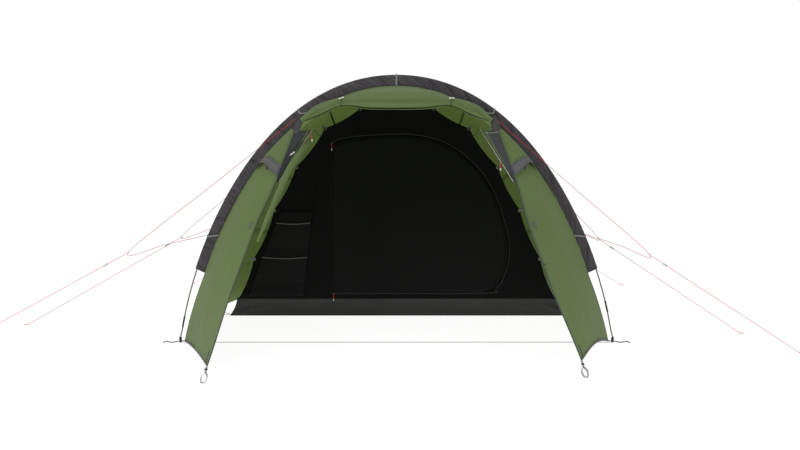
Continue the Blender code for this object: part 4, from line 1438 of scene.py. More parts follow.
def add_wing_trim(word, side):
    """Piping down the zip edge, a folded tape on the hem, and small grey patches."""
    shape = Shape()
    path = [wing_point(side, v, 1.0) + Vector((side * -0.002, -0.002, 0.0)) for v in spread(0.0, 1.0, 70)]
    add_tube(shape, path, sizes().piping, 8)
    shape.finish("wing_piping_" + word, plastic("blue grey piping", 0.050, 0.052, 0.062, 0.55),
                 slot="patch_fabric")
    shape = Shape()
    path = [wing_point(side, 1.0, u, 0.0006) for u in spread(0.0, 1.0, 30)]
    add_ribbon(shape, path, Vector((0.0, 0.0, 1.0)), 0.012, 0.0036)
    shape.finish("wing_hem_" + word, grey_cloth(), slot="patch_fabric")
    shape = Shape()
    for v, u, high, wide in ((0.455, 0.90, 0.045, 0.020), (0.955, 0.94, 0.075, 0.014)):
        top = wing_point(side, max(v - 0.015, 0.0), u, 0.0040)
        low = wing_point(side, v + 0.015, u, 0.0040)
        middle = wing_point(side, v, u, 0.0040)
        run = (low - top).normalized()
        over = (wing_point(side, v, min(u + 0.05, 1.0)) - wing_point(side, v, u - 0.05)).normalized()
        add_ribbon(shape, [middle - run * high / 2, middle, middle + run * high / 2], over, wide, 0.0014)
    shape.finish("wing_patches_" + word, grey_cloth(), slot="patch_fabric")
    shape = Shape()
    top = Vector((side * 0.604, FRONT_Y - 0.112, 1.450))
    low = Vector((side * 0.634, FRONT_Y - 0.118, 1.365))
    add_ribbon(shape, [top, top.lerp(low, 0.5) + Vector((0.0, -0.008, 0.0)), low],
               Vector((1.0, 0.0, side * 0.35)), 0.050, 0.0022)
    shape.finish("wing_head_" + word, band_cloth(), slot="patch_fabric")


def hood_point(side, share, across):
    """Return a point of the vent hood, whose free edge arches off the wing."""
    arc = math.sin(math.pi * across)
    at_band, less, more = HOOD_REACH
    reach = at_band - less * arc + more * across ** 2
    lift = 0.0045 + HOOD_LIFT * share * arc ** 0.8
    return wing_point(side, 0.010 + (reach - 0.010) * share, across, lift)


def add_hood(word, side):
    """The awning over the wing's vent, with a stiff grey rim and radial folds."""
    def rim_start(u):
        return 0.90 - 0.11 * u

    def crumple(u, v, along, across):
        free = ease(u / 0.08) * ease((1 - u) / 0.06) * v
        radial = fold(u * 6.0, v * 1.2, 31.0 + side) - 0.35 + 0.4 * ripple(u * 9.0, v * 5.0, 32.0)
        return -side * free * 0.0055 * radial

    add_cloth("hood_cloth_" + word, lambda u, v: hood_point(side, v * rim_start(u), u), 46, 60, green_cloth(),
              crumple, slot="fly_fabric", replaces=["vent_hood_" + word],
              rests_on=["vent_strut_" + word], smooth=ALL_SMOOTH)

    def rim(u, v):
        return hood_point(side, rim_start(u) + (1.0 - rim_start(u)) * v, u) + Vector((0.0, -0.0014, 0.0))

    def dents(u, v, along, across):
        return side * 0.0030 * (ripple(u * 8.0, v * 2.0, 35.0 + side) + 0.5 * ripple(u * 22.0, v * 4.0, 36.0))

    add_cloth("hood_rim_" + word, rim, 12, 60, grey_cloth(), dents, slot="patch_fabric",
              rests_on=["vent_strut_" + word], smooth=ALL_SMOOTH)


def vent_edges(side):
    """Return the ends of the door's zip beside the vent: under the band and at the wing's edge."""
    top = Vector((side * VENT_TOP.x, VENT_TOP.y, VENT_TOP.z))
    low = WING_APEX.lerp(WING_TIP[side], VENT_END)
    return top, Vector((side * (low.x - 0.012), low.y + 0.010, low.z))


def vent_point(side, across, down):
    """Return a point of the vent, from the door's zip across to the wing's edge."""
    top, low = vent_edges(side)
    edge = WING_APEX.lerp(WING_TIP[side], 0.028 + (VENT_END - 0.028) * down)
    edge = Vector((side * (edge.x - 0.002), edge.y + 0.003, edge.z))
    return top.lerp(low, 0.97 * down).lerp(edge, across)


def add_vent_net(word, side):
    """Insect netting between the wing's edge and the door's zip, with a cloth strip along the zip."""
    strip = 0.26

    def slack(u, v, along, across):
        return 0.0030 * math.sin(math.pi * u) * (1.0 + ripple(u * 3.0, v * 6.0, 41.0 + side))

    add_cloth("vent_net_" + word, lambda u, v: vent_point(side, strip + (1.0 - strip) * u, v), 40, 14,
              net("insect netting", 0.060, 0.061, 0.064, 0.0022, 0.66), slack,
              slot="vent_mesh", replaces=["vent_mesh_" + word], rests_on=["wing_cloth_" + word],
              smooth=ALL_SMOOTH)
    add_cloth("vent_strip_" + word, lambda u, v: vent_point(side, strip * 1.05 * u, v), 40, 6, green_cloth(),
              slot="fly_fabric", rests_on=["vent_net_" + word], smooth=ALL_SMOOTH)
    shape = Shape()
    path = [vent_point(side, t, 0.0) + Vector((0.0, -0.002, -0.012 * math.sin(math.pi * t)))
            for t in spread(strip, 1.0, 9)]
    add_tube(shape, path, 0.0024, 8)
    shape.finish("vent_binding_" + word, webbing(1.4), slot="webbing")
    shape = Shape()
    path = [vent_point(side, 0.0, t) + Vector((-side * 0.004, -0.004, 0.0)) for t in spread(0.0, 1.0, 40)]
    add_ribbon(shape, path, Vector((side * 1.0, -0.4, 0.0)), 0.012, 0.0020)
    # The porch zip's teeth are painted light: a painted glint on the coil.
    shape.finish("door_zip_" + word, zip_finish("porch zip", 0.62), slot="zip_pull")


def add_peg_loop(word, side):
    """The strap at the wing's tip: a buckle and the loop that goes over a peg."""
    corner = WING_TIP[side]
    tip = Vector((corner.x * side, corner.y - 0.008, corner.z - 0.004))
    end = PEG_LOOP_END[side]
    shape = Shape()
    run = (end - tip).normalized()
    over = Vector((-run.y, run.x, 0.0)).normalized()
    waist = tip.lerp(end, 0.35)
    add_ribbon(shape, smooth_path([tip, waist], 5), over, 0.014, 0.0018)
    for sign in (-1, 1):
        path = [waist, waist.lerp(end, 0.45) + over * (sign * 0.016), end + over * (sign * 0.009), end]
        add_ribbon(shape, smooth_path(path, 14), Vector((0.0, 0.0, 1.0)).lerp(over, 0.5), 0.012, 0.0018)
    shape.finish("peg_strap_" + word, webbing(2.0), slot="webbing", replaces=["peg_loop_" + word])
    add_buckle("peg_buckle_" + word, tip.lerp(end, 0.22) + Vector((0.0, 0.0, 0.003)), run)


def add_buckle(name, place, run):
    """A flat ladder buckle with two slots."""
    made = edit_new(bpy.ops.mesh.primitive_cube_add, size=1.0)
    bpy.ops.mesh.select_all(action="SELECT")
    bpy.ops.transform.resize(value=(0.018, 0.0032, 0.022))
    for height in (-0.0075, -0.0015, 0.0015, 0.0075):
        bpy.ops.mesh.select_all(action="SELECT")
        bpy.ops.mesh.bisect(plane_co=(0.0, 0.0, height), plane_no=(0.0, 0.0, 1.0))
    for aside in (-0.0062, 0.0062):
        bpy.ops.mesh.select_all(action="SELECT")
        bpy.ops.mesh.bisect(plane_co=(aside, 0.0, 0.0), plane_no=(1.0, 0.0, 0.0))
    pick(made, "FACE", lambda middle, face: abs(middle.x) < 0.005 and 0.0030 < abs(middle.z) < 0.0060
         and abs(face.normal.y) > 0.9)
    bpy.ops.mesh.delete(type="FACE")
    pick(made, "EDGE", lambda middle, edge: edge.is_boundary and middle.z > 0)
    bpy.ops.mesh.bridge_edge_loops()
    pick(made, "EDGE", lambda middle, edge: edge.is_boundary and middle.z < 0)
    bpy.ops.mesh.bridge_edge_loops()
    pick(made, "EDGE", lambda middle, edge: len(edge.link_faces) == 2 and edge.calc_face_angle(0.0) > 1.0
         and abs(middle.x) > 0.0085)
    bpy.ops.mesh.bevel(offset=0.0010, segments=2)
    close_edit(made, name, plastic("buckle plastic", 0.030, 0.030, 0.032, 0.45))
    lay_in_place(made, place, run)
    return settle(made, "tent")


# ---------------------------------------------------------------- porch door
class TENT_OT_porch_door(bpy.types.Operator):
    """Make the rolled and gathered door with its toggles and elastic loops"""
    bl_idname = "tent.porch_door"
    bl_label = "Rolled door"

    def execute(self, context):
        add_lintel()
        add_rolled_door()
        add_gathered_door()
        for name, (place, direction) in TOGGLES.items():
            add_toggle(name, place, direction)
        add_elastics()
        return {"FINISHED"}


def roll_at(x):
    """Return the rolled door's middle height and radius at a distance from the centre."""
    for (x1, z1, r1), (x2, z2, r2) in zip(DOOR_ROLL, DOOR_ROLL[1:]):
        if x <= x2:
            share = ease(max(x - x1, 0.0) / (x2 - x1))
            return z1 + (z2 - z1) * share, r1 + (r2 - r1) * share
    return DOOR_ROLL[-1][1], DOOR_ROLL[-1][2]


def add_lintel():
    """The strip of door cloth from the front band down onto the roll, which it meets smoothly."""
    def surface(u, v):
        side = -0.28 + 0.56 * u
        edge = near_hoop(FRONT, side, -BAND_DEPTH - 0.003, -BAND_REACH - 0.0015)
        if v < 0.12:
            tucked = near_hoop(FRONT, side, -BAND_DEPTH + 0.0075, -BAND_REACH + 0.0100)
            return tucked.lerp(edge, v / 0.12)
        share = (v - 0.12) / 0.88
        height, radius = roll_at(edge.x)
        reach = radius * 1.06 + 0.003
        landing = Vector((edge.x * 0.985, ROLL_Y - reach * 1.04, height - reach * 0.05))
        swell = Vector((0.0, -0.62, 0.78)) * (0.52 * radius * math.sin(math.pi * share ** 1.2))
        return edge.lerp(landing, share) + swell

    def relief(u, v, along, across):
        fan = min(abs(u - 0.22), abs(u - 0.78))
        pull = math.exp(-(fan / 0.07) ** 2)
        return ease(v / 0.2) * (0.0030 * ripple(along * 5.0, across * 9.0, 51.0)
                                + 0.0052 * (0.25 + pull) * (fold(along * 6.0, across * 14.0, 52.0) - 0.3))

    add_cloth("door_lintel_cloth", surface, 30, 190, green_cloth(), relief, slot="fly_fabric",
              replaces=["door_lintel"], held="hung", rests_on=["front_band"], smooth=ALL_SMOOTH)


def roll_radius(stations, share):
    """Return the centre and the radius at a share of a roll's length, eased between stations."""
    place = share * (len(stations) - 1)
    i = min(int(place), len(stations) - 2)
    t = place - i
    near = stations[max(i - 1, 0)][-1]
    a = stations[i][-1]
    b = stations[i + 1][-1]
    far = stations[min(i + 2, len(stations) - 1)][-1]
    squared = 2 * near - 5 * a + 4 * b - far
    cubed = 3 * a - near - 3 * b + far
    value = 2 * a + (b - near) * t + squared * t ** 2 + cubed * t ** 3
    return max(value / 2, 0.006)


def wound_noise(angle, scale, along):
    """Return a smooth random value that closes on itself round a roll."""
    return noise.noise(Vector((math.cos(angle) * scale, math.sin(angle) * scale, along)))


def add_roll(name, route, radius_at, turns, seed, look, flatten, **settings):
    """Cloth wound round itself along a path: a spiral section with loose lengthwise folds."""
    count = len(route)
    around = int(26 * turns)
    rows = []
    for i, centre in enumerate(route):
        share = i / (count - 1)
        radius = radius_at(share)
        pull = math.exp(-((abs(centre.x) - PINCH_X) / 0.10) ** 2)
        side, up = ring_axes(route, i)
        row = []
        for k in range(around + 1):
            wound = k / around
            angle = 2 * math.pi * turns * wound + 1.2
            reach = radius * (1.0 - 0.72 * wound)
            loose = wound_noise(angle, 1.3, share * 5.0 + seed)
            crease = wound_noise(angle, 3.0, share * 9.0 + seed * 3)
            pleat = wound_noise(angle, 6.0, share * 4.0 + seed * 5)
            reach *= 1.0 + (0.13 * loose + 0.07 * crease + 0.16 * (0.25 + pull) * pleat) * (1.0 - wound)
            row.append(centre + side * (reach * math.cos(angle) * flatten) + up * (reach * math.sin(angle)))
        rows.append(row)
    across = [[0.0] * (around + 1) for _ in rows]
    down = [[0.0] * (around + 1) for _ in rows]
    for i, row in enumerate(rows):
        for k in range(1, around + 1):
            across[i][k] = across[i][k - 1] + (row[k] - row[k - 1]).length
        if i:
            for k in range(around + 1):
                down[i][k] = down[i - 1][k] + (row[k] - rows[i - 1][k]).length
    shape = Shape()
    shape.rows(rows, across, down)
    made = shape.finish(name, look, solid=False, thickness=0.0007, **settings)
    declare_cloth(made, max(row[-1] for row in across), max(down[-1]))
    return made


def add_rolled_door():
    """The door, wound up and held by two toggles under the band."""
    route = smooth_path([(x, ROLL_Y, z) for x, z, _ in DOOR_ROLL], 170)
    add_roll("rolled_door", route, lambda share: roll_radius(DOOR_ROLL, share), 3.6, 2.0, green_cloth(), 0.92,
             slot="fly_fabric", replaces=["door_roll"], smooth=ALL_SMOOTH)


def add_gathered_door():
    """The door's left part, gathered beside the wing's zip edge."""
    route = smooth_path([(x, y, z) for x, y, z, _ in SIDE_ROLL], 110)
    add_roll("gathered_door", route, lambda share: roll_radius(SIDE_ROLL, share), 2.6, 6.0,
             green_cloth(), 1.05, slot="fly_fabric", replaces=["side_roll"], smooth=ALL_SMOOTH)


def add_toggle(name, place, direction):
    """A moulded toggle: a waisted rod with rounded ends and a hole for its elastic."""
    made = edit_new(bpy.ops.mesh.primitive_cylinder_add, vertices=20, radius=0.0042, depth=0.034)
    bisect_at((-0.0055, -0.0025, 0.0025, 0.0055))
    pick(made, "VERT", lambda middle, vertex: abs(middle.z) < 0.003)
    bpy.ops.transform.resize(value=(0.62, 0.62, 1.0))
    pick(made, "FACE", lambda middle, face: abs(middle.z) > 0.0165)
    bpy.ops.mesh.inset(thickness=0.0012, depth=0.0)
    pick(made, "EDGE", lambda middle, edge: abs(middle.z) > 0.0165 and off_axis(middle) > 0.0038)
    bpy.ops.mesh.bevel(offset=0.0012, segments=3)
    close_edit(made, name + "_rod", plastic("toggle plastic", 0.56, 0.56, 0.54, 0.45))
    lay_in_place(made, place, direction)
    return settle(made, name, [name])


def add_elastics():
    """Elastic loops that hold the rolls, and the short black ties at the door's sides."""
    shape = Shape()
    for sign in (-1, 1):
        loop = []
        for turn in spread(0.0, 2 * math.pi, 25):
            loop.append(Vector((sign * PINCH_X + 0.004 * math.sin(turn * 2), ROLL_Y - 0.034 * math.cos(turn),
                                1.546 + 0.034 * math.sin(turn))))
        add_tube(shape, loop, 0.0016, 7)
    shape.finish("roll_elastics", plastic("dark elastic", 0.014, 0.014, 0.013, 0.7), slot="webbing")
    shape = Shape()
    for first, last in (((0.520, FRONT_Y - 0.020, 1.372), (0.490, FRONT_Y + 0.100, 1.335)),
                        ((-0.520, FRONT_Y - 0.020, 1.372), (-0.490, FRONT_Y + 0.100, 1.335)),
                        ((0.888, FRONT_Y - 0.600, 0.572), (0.885, FRONT_Y - 0.480, 0.570)),
                        ((-0.888, FRONT_Y - 0.600, 0.572), (-0.885, FRONT_Y - 0.480, 0.570))):
        middle = (Vector(first) + Vector(last)) / 2 - Vector((0.0, 0.0, 0.012))
        add_tube(shape, smooth_path([first, middle, last], 12), 0.0022, 7)
    shape.finish("door_ties", plastic("dark elastic", 0.014, 0.014, 0.013, 0.7), slot="webbing")


# ---------------------------------------------------------------- inner tent
class TENT_OT_inner(bpy.types.Operator):
    """Make the inner tent: front wall, D-shaped door, shell, pockets and groundsheet"""
    bl_idname = "tent.inner"
    bl_label = "Inner tent"

    def execute(self, context):
        add_front_wall()
        add_inner_door()
        add_shell()
        add_pockets()
        add_groundsheet()
        add_hanging_tabs()
        add_floor_ties()
        return {"FINISHED"}


def scalloped(points, sag, steps):
    """Return an outline whose edges between the corners are drawn in toward the middle."""
    made = []
    for (x1, z1), (x2, z2) in zip(points, points[1:]):
        run = Vector((x2 - x1, 0.0, z2 - z1))
        inward = Vector((-run.z, 0.0, run.x)).normalized()
        for k in range(steps):
            t = k / steps
            bow = sag * run.length * 4 * t * (1 - t)
            made.append(Vector((x1, 0.0, z1)) + run * t + inward * bow)
    made.append(Vector((points[-1][0], 0.0, points[-1][1])))
    return made


def ray_hit(loop, middle, angle):
    """Return where a ray from the middle meets a closed outline."""
    direction = Vector((math.cos(angle), 0.0, math.sin(angle)))
    best = None
    for a, b in zip(loop, loop[1:] + loop[:1]):
        edge = b - a
        base = direction.x * -edge.z + edge.x * direction.z
        if abs(base) < 1e-12:
            continue
        off = a - middle
        reach = (off.x * -edge.z + edge.x * off.z) / base
        t = (direction.x * off.z - direction.z * off.x) / base
        if reach > 0 and -1e-6 <= t <= 1 + 1e-6 and (best is None or reach < best):
            best = reach
    return middle + direction * best


def wall_outline():
    """Return the inner tent's front outline with its edges drawn in between the tabs."""
    top = scalloped(INNER_OUTLINE, 0.045, 8)
    left = [Vector((-p.x, 0.0, p.z)) for p in reversed(top[:-1])]
    return top + left


def door_loop(grow):
    """Return the door's outline, rounded and grown outward."""
    points = [Vector((x, 0.0, z)) for x, z in DOOR_OUTLINE]
    return [p + (p - DOOR_MIDDLE).normalized() * grow for p in points]


def door_bearing(x, z):
    """Return the direction of a point as seen from the middle of the door."""
    return math.atan2(z - DOOR_MIDDLE.z, x - DOOR_MIDDLE.x) % (2 * math.pi)


def turn_angles(count):
    """Return angles round the door's middle, enough of them at its corners."""
    corners = [door_bearing(x, z) for x, z in DOOR_OUTLINE]
    corners += [door_bearing(place.x, place.z) for place in wall_outline()[::8]]
    even = [2 * math.pi * k / count for k in range(count)]
    return sorted(set(round(a, 5) for a in even + corners))


def add_front_wall():
    """The inner tent's front wall round its door, drawn in between its hanging points."""
    outer = wall_outline()
    inner = door_loop(ZIP_GAP * 1.5)
    angles = turn_angles(220)
    rings = 14
    rows = []
    across = []
    down = []
    for k in range(rings + 1):
        t = k / rings
        row = []
        for angle in angles:
            a = ray_hit(inner, DOOR_MIDDLE, angle)
            b = ray_hit(outer, DOOR_MIDDLE, angle)
            point = a.lerp(b, t)
            slack = math.sin(math.pi * t) * min((b - a).length / 0.30, 1.0)
            wave = ripple(point.x * 3.2, point.z * 3.0, 61.0)
            wave = wave + 0.5 * fold(point.x * 5.0, point.z * 2.0, 62.0) - 0.2
            row.append(Vector((point.x, INNER_Y + 0.0007 - 0.0045 * slack * wave, point.z)))
        rows.append(row)
        across.append([p.x for p in row] + [row[0].x])
        down.append([p.z for p in row] + [row[0].z])
    shape = Shape()
    shape.rows(rows, across, down, around=True)
    made = shape.finish("inner_wall", black_cloth(), solid=False, thickness=sizes().cloth,
                        slot="inner_fabric", replaces=["inner_front_wall"], smooth=ALL_SMOOTH)
    height = INNER_OUTLINE[-1][1] - WALL_FOOT
    declare_cloth(made, 2 * INNER_OUTLINE[0][0], height)
    add_zip_ring("inner_zip_tape", 0.0045, 0.0010, "tent")
    add_wall_seam()


def add_zip_ring(name, offset, gap, body):
    """The zip's tape round the door, sewn to the wall."""
    shape = Shape()
    path = []
    for x, z in DOOR_OUTLINE:
        p = Vector((x, 0.0, z))
        path.append(p + (p - DOOR_MIDDLE).normalized() * offset)
    line = [Vector((p.x, INNER_Y - gap - 0.0012, p.z)) for p in round_corners(path, 6)]
    wide = []
    for i, p in enumerate(line):
        run = line[min(i + 1, len(line) - 1)] - line[max(i - 1, 0)]
        wide.append(Vector((-run.z, 0.0, run.x)).normalized())
    add_ribbon(shape, line, wide, 0.0075, 0.0010)
    shape.finish(name, zip_finish("inner zip", 0.034), body=body, slot="inner_fabric")


def round_corners(points, steps):
    """Return the path with a point every few centimetres and smooth bends."""
    return smooth_path(points, (len(points) - 1) * steps + 1)


def add_wall_seam():
    """The slanted seam left of the door where two cloths are joined."""
    shape = Shape()
    line = [Vector((-0.560 - 0.140 * t, INNER_Y - 0.0062, 1.250 - 1.088 * t)) for t in spread(0.0, 1.0, 30)]
    add_ribbon(shape, line, Vector((1.0, 0.0, 0.0)), 0.007, 0.0012)
    shape.finish("wall_seam", lit_black_cloth(), slot="inner_fabric")
    shape = Shape()
    x, low = DOOR_OUTLINE[0]
    high = DOOR_OUTLINE[-1][1]
    line = [Vector((x - 0.0040, INNER_Y - 0.0016, low + (high - low) * t)) for t in spread(0.0, 1.0, 40)]
    add_ribbon(shape, line, Vector((1.0, 0.0, 0.0)), 0.0110, 0.0008)
    shape.finish("hinge_seam", lit_black_cloth(), slot="inner_fabric")


def add_inner_door():
    """The D-shaped door with a soft drape and its own half of the zip."""
    loop = door_loop(0.0)
    angles = turn_angles(200)
    rings = 16
    rows = []
    across = []
    down = []
    for k in range(rings + 1):
        t = 0.02 + 0.98 * k / rings
        row = []
        for angle in angles:
            edge = ray_hit(loop, DOOR_MIDDLE, angle)
            point = DOOR_MIDDLE.lerp(edge, t)
            slack = 1.0 - t ** 3
            wave = 0.8 * ripple(point.x * 2.4, point.z * 1.6, 71.0)
            wave = wave + 0.7 * fold(point.x * 3.4, point.z * 0.9, 72.0) - 0.3
            row.append(Vector((point.x, INNER_Y + 0.0007 - 0.0050 * slack * wave, point.z)))
        rows.append(row)
        across.append([p.x for p in row] + [row[0].x])
        down.append([p.z for p in row] + [row[0].z])
    shape = Shape()
    shape.rows(rows, across, down, around=True)
    first = len(angles)
    shape.faces.append(tuple(range(first)))
    shape.cloth.extend((p.x, p.z) for p in rows[0])
    made = shape.finish("door_panel", lit_black_cloth(), body="inner_door", solid=False, thickness=sizes().cloth,
                        slot="inner_fabric", replaces=["inner_door"], smooth=ALL_SMOOTH)
    declare_cloth(made, 1.343, 1.193)


def inner_profile(side):
    """Return (x, z) on the inner tent's outline for side from -1 to 1."""
    place = (1.0 - abs(side)) * (len(INNER_OUTLINE) - 1)
    index = min(int(place), len(INNER_OUTLINE) - 2)
    share = place - index
    a = Vector(INNER_OUTLINE[index])
    b = Vector(INNER_OUTLINE[index + 1])
    point = a.lerp(b, share)
    bow = 0.045 * (b - a).length * 4 * share * (1 - share)
    normal = Vector((b.y - a.y, a.x - b.x)).normalized()
    point = point - normal * bow
    return math.copysign(point.x, side), point.y


def add_shell():
    """The inner tent's roof, sides and back as one sewn shell."""
    start = INNER_Y + 0.0022
    knee = 0.62
    half = INNER_REAR_SCALE[0] * INNER_OUTLINE[0][0]

    def surface(u, v):
        side = u * 2.0 - 1.0
        share = min(v / knee, 1.0)
        x, z = inner_profile(side)
        wide = 1.0 + (INNER_REAR_SCALE[0] - 1.0) * share
        tall = 1.0 + (INNER_REAR_SCALE[1] - 1.0) * share
        top = Vector((x * wide, start + (REAR_Y - start) * share, WALL_FOOT + (z - WALL_FOOT) * tall))
        if v <= knee:
            return top
        down = (v - knee) / (1.0 - knee)
        foot = round_end(half, INNER_REAR_DEPTH, side) + Vector((0.0, REAR_Y + 0.04, WALL_FOOT))
        return top.lerp(foot, down) + Vector((0.0, 0.05, 0.02)) * math.sin(math.pi * down)

    def relief(u, v, along, across):
        edge = ease(v / 0.05) * ease((1 - v) / 0.05)
        loose = ripple(along * 2.0, across * 2.0, 66.0) + 0.5 * fold(along * 3.0, across * 1.2, 67.0)
        return edge * 0.007 * loose

    add_cloth("inner_cloth_shell", surface, 90, 150, black_cloth(), relief, held="hung", slot="inner_fabric",
              replaces=["inner_shell"], rests_on=["middle_sleeve_cloth"], smooth=ALL_SMOOTH)


def pocket_edges(z):
    """Return the left and the right edge of the pocket panel at a height."""
    left = ((-1.120, 0.200), (-1.035, 0.434), (-0.905, 0.745))
    right = -0.700 + (z - 0.148) * 0.098
    for (x1, z1), (x2, z2) in zip(left, left[1:]):
        if z <= z2:
            return x1 + (x2 - x1) * (z - z1) / (z2 - z1), right
    return left[-1][0] + (z - left[-1][1]) * 0.42, right


def add_pockets():
    """A plain panel left of the door with two pockets of dark netting, each with a bound top."""
    def on_panel(u, z, ahead):
        left, right = pocket_edges(z)
        bow = 0.003 * math.sin(math.pi * u)
        return Vector((left + 0.012 + (right - left - 0.018) * u, INNER_Y - ahead - bow, z))

    def slack(u, v, along, across):
        return 0.002 * ripple(u * 5.0, v * 3.0, 77.0)

    add_cloth("pocket_panel_cloth", lambda u, v: on_panel(u, 0.787 - 0.640 * v, 0.0052), 40, 30, lit_black_cloth(),
              slack, held="hung", slot="pocket_mesh", replaces=["pocket_panel"],
              rests_on=["inner_wall"], smooth=ALL_SMOOTH)
    dark_net = net("pocket netting", 0.0022, 0.0024, 0.0024, 0.0030, 0.80)
    for low, high, word in ((0.250, 0.440, "lower"), (0.517, 0.700, "upper")):
        def surface(u, v, low=low, high=high):
            point = on_panel(u, high + (low - high) * v, 0.0080)
            return point - Vector((0.0, 0.004 * (1 - v), 0.010 * math.sin(math.pi * u) * (1 - v)))

        add_cloth("pocket_" + word, surface, 16, 30, dark_net, slack, held="hung", slot="pocket_mesh",
                  rests_on=["pocket_panel_cloth"], smooth=ALL_SMOOTH)
        shape = Shape()
        path = [surface(u, 0.0) + Vector((0.0, -0.0016, 0.0)) for u in spread(0.0, 1.0, 24)]
        add_ribbon(shape, path, Vector((0.0, 0.0, 1.0)), 0.0085, 0.0020)
        shape.finish("pocket_binding_" + word, plastic("pocket binding", 0.085, 0.080, 0.078, 0.75),
                     slot="pocket_mesh")


def floor_outline(lean, inset):
    """Return the floor's outline, leaned out at the sides and set in by a thickness."""
    front = INNER_Y + 0.001 - 0.70 * lean + inset
    grow = lean - inset
    half_front = 1.212 + grow
    half_rear = INNER_REAR_SCALE[0] * INNER_OUTLINE[0][0] + 0.016 + grow
    points = [(half_front, front)]
    for side in spread(1.0, -1.0, 15):
        offset = round_end(half_rear, INNER_REAR_DEPTH + 0.02 + grow, side)
        points.append((offset.x, REAR_Y + 0.04 + offset.y))
    points.append((-half_front, front))
    return points


def dense_outline(lean, step):
    """Return the floor's outline with points every few centimetres, its corners kept sharp."""
    corners = [Vector((x, y, 0.0)) for x, y in floor_outline(lean, 0.0)]
    plan = [Vector((x, y, 0.0)) for x, y in floor_outline(0.0, 0.0)]
    points = []
    for i, a in enumerate(corners):
        j = (i + 1) % len(corners)
        count = max(1, int((plan[j] - plan[i]).length / step))
        points += [a.lerp(corners[j], k / count) for k in range(count)]
    return points


def add_groundsheet():
    """The tray floor: walls that lean in, creased at the corners, and a flat bottom."""
    top = WALL_FOOT - 0.0025
    base = dense_outline(0.050, 0.022)
    upper = dense_outline(0.0, 0.022)
    count = len(base)
    rows = []
    across = []
    down = []
    for k in range(11):
        t = k / 10
        row = []
        for a, b in zip(upper, base):
            point = a.lerp(b, t ** 2)
            near_corner = math.exp(-((abs(point.x) - 1.24) / 0.22) ** 2) if point.y < INNER_Y + 0.1 else 0.25
            slant = fold(point.x * 7.0 - t * 0.9 * math.copysign(1.0, point.x), point.y * 4.0 + t * 1.4, 81.0)
            loose = 0.0035 * ripple(point.x * 6.0, t * 2.0 + point.y * 4.0, 82.0)
            loose = loose + (0.0012 + 0.0080 * near_corner) * slant
            bulge = math.sin(math.pi * t) * ease(t / 0.5) * loose
            out = Vector((point.x, 0.6, 0.0)).normalized()
            if point.y < INNER_Y + 0.02:
                out = Vector((0.0, -1.0, 0.0))
            row.append(Vector((point.x, point.y, top * (1 - t) + 0.0006 * t)) + out * bulge)
        rows.append(row)
        lengths = [0.0]
        for a, b in zip(row, row[1:] + row[:1]):
            lengths.append(lengths[-1] + (b - a).length)
        across.append(lengths)
        down.append([t * 0.17] * (count + 1))
    shape = Shape()
    shape.rows(rows, across, down, around=True)
    rim = (len(rows) - 1) * count
    middle = Vector((0.0, INNER_Y + 1.0, 0.0006))
    for scale in (0.66, 0.33):
        start = len(shape.points)
        shape.points.extend(middle + (p - middle) * scale for p in rows[-1])
        shape.hem.extend([1.0] * count)
        for j in range(count):
            k = (j + 1) % count
            shape.faces.append((rim + j, start + j, start + k, rim + k))
            shape.cloth.extend((shape.points[i].x, shape.points[i].y) for i in shape.faces[-1])
        rim = start
    shape.faces.append(tuple(rim + j for j in range(count)))
    shape.cloth.extend((shape.points[i].x, shape.points[i].y) for i in shape.faces[-1])
    made = shape.finish("tray_floor", tray_cloth(), solid=False, thickness=sizes().cloth, slot="floor_fabric",
                        replaces=["groundsheet"], smooth=60)
    declare_cloth(made, 2.80, 2.65)


def add_hanging_tabs():
    """Grey straps from the inner tent's corners to the middle sleeve."""
    shape = Shape()
    for x, z in INNER_OUTLINE[1:-1]:
        for sign in (-1, 1):
            start = Vector((sign * (x - 0.012), INNER_Y - 0.004, z - 0.008))
            at = sign * side_at(MIDDLE, min(z * 1.045 + 0.02, 1.66))
            end = near_hoop(MIDDLE, at, -0.016, -0.012)
            run = end - start
            end = start + run.normalized() * min(run.length, 0.048)
            over = Vector((-run.z, 0.0, run.x)).normalized()
            path = [start, start.lerp(end, 0.5) - Vector((0.0, 0.0, 0.004)), end]
            add_ribbon(shape, smooth_path(path, 10), over, 0.022, 0.0014)
    shape.finish("hanging_tabs", webbing(0.95), slot="webbing")


def add_floor_ties():
    """Thin elastic ties from the groundsheet's front corners to the roof's hem."""
    shape = Shape()
    for sign in (-1, 1):
        corner = Vector((sign * 1.262, INNER_Y - 0.002, 0.006))
        low = side_at(FRONT, FLY_HEM + 0.01)
        for share in (0.70, 0.93):
            hem = roof_point(FRONT, MIDDLE, sign * low, share) - Vector((sign * 0.006, 0.0, -0.004))
            middle = corner.lerp(hem, 0.5) - Vector((0.0, 0.0, 0.003))
            add_tube(shape, smooth_path([corner, middle, hem], 8), 0.0018, 6)
    shape.finish("floor_ties", plastic("grey elastic", 0.16, 0.16, 0.15, 0.7), slot="webbing")


# ---------------------------------------------------------------------- zips
class TENT_OT_zips(bpy.types.Operator):
    """Make the zip sliders with their cord pulls"""
    bl_idname = "tent.zips"
    bl_label = "Zip sliders"

    def execute(self, context):
        add_slider("inner_zip_top", 0.0)
        add_slider("inner_zip_bottom", 0.0)
        add_slider("porch_zip_left", 0.25)
        add_slider("porch_zip_right", 0.0)
        return {"FINISHED"}


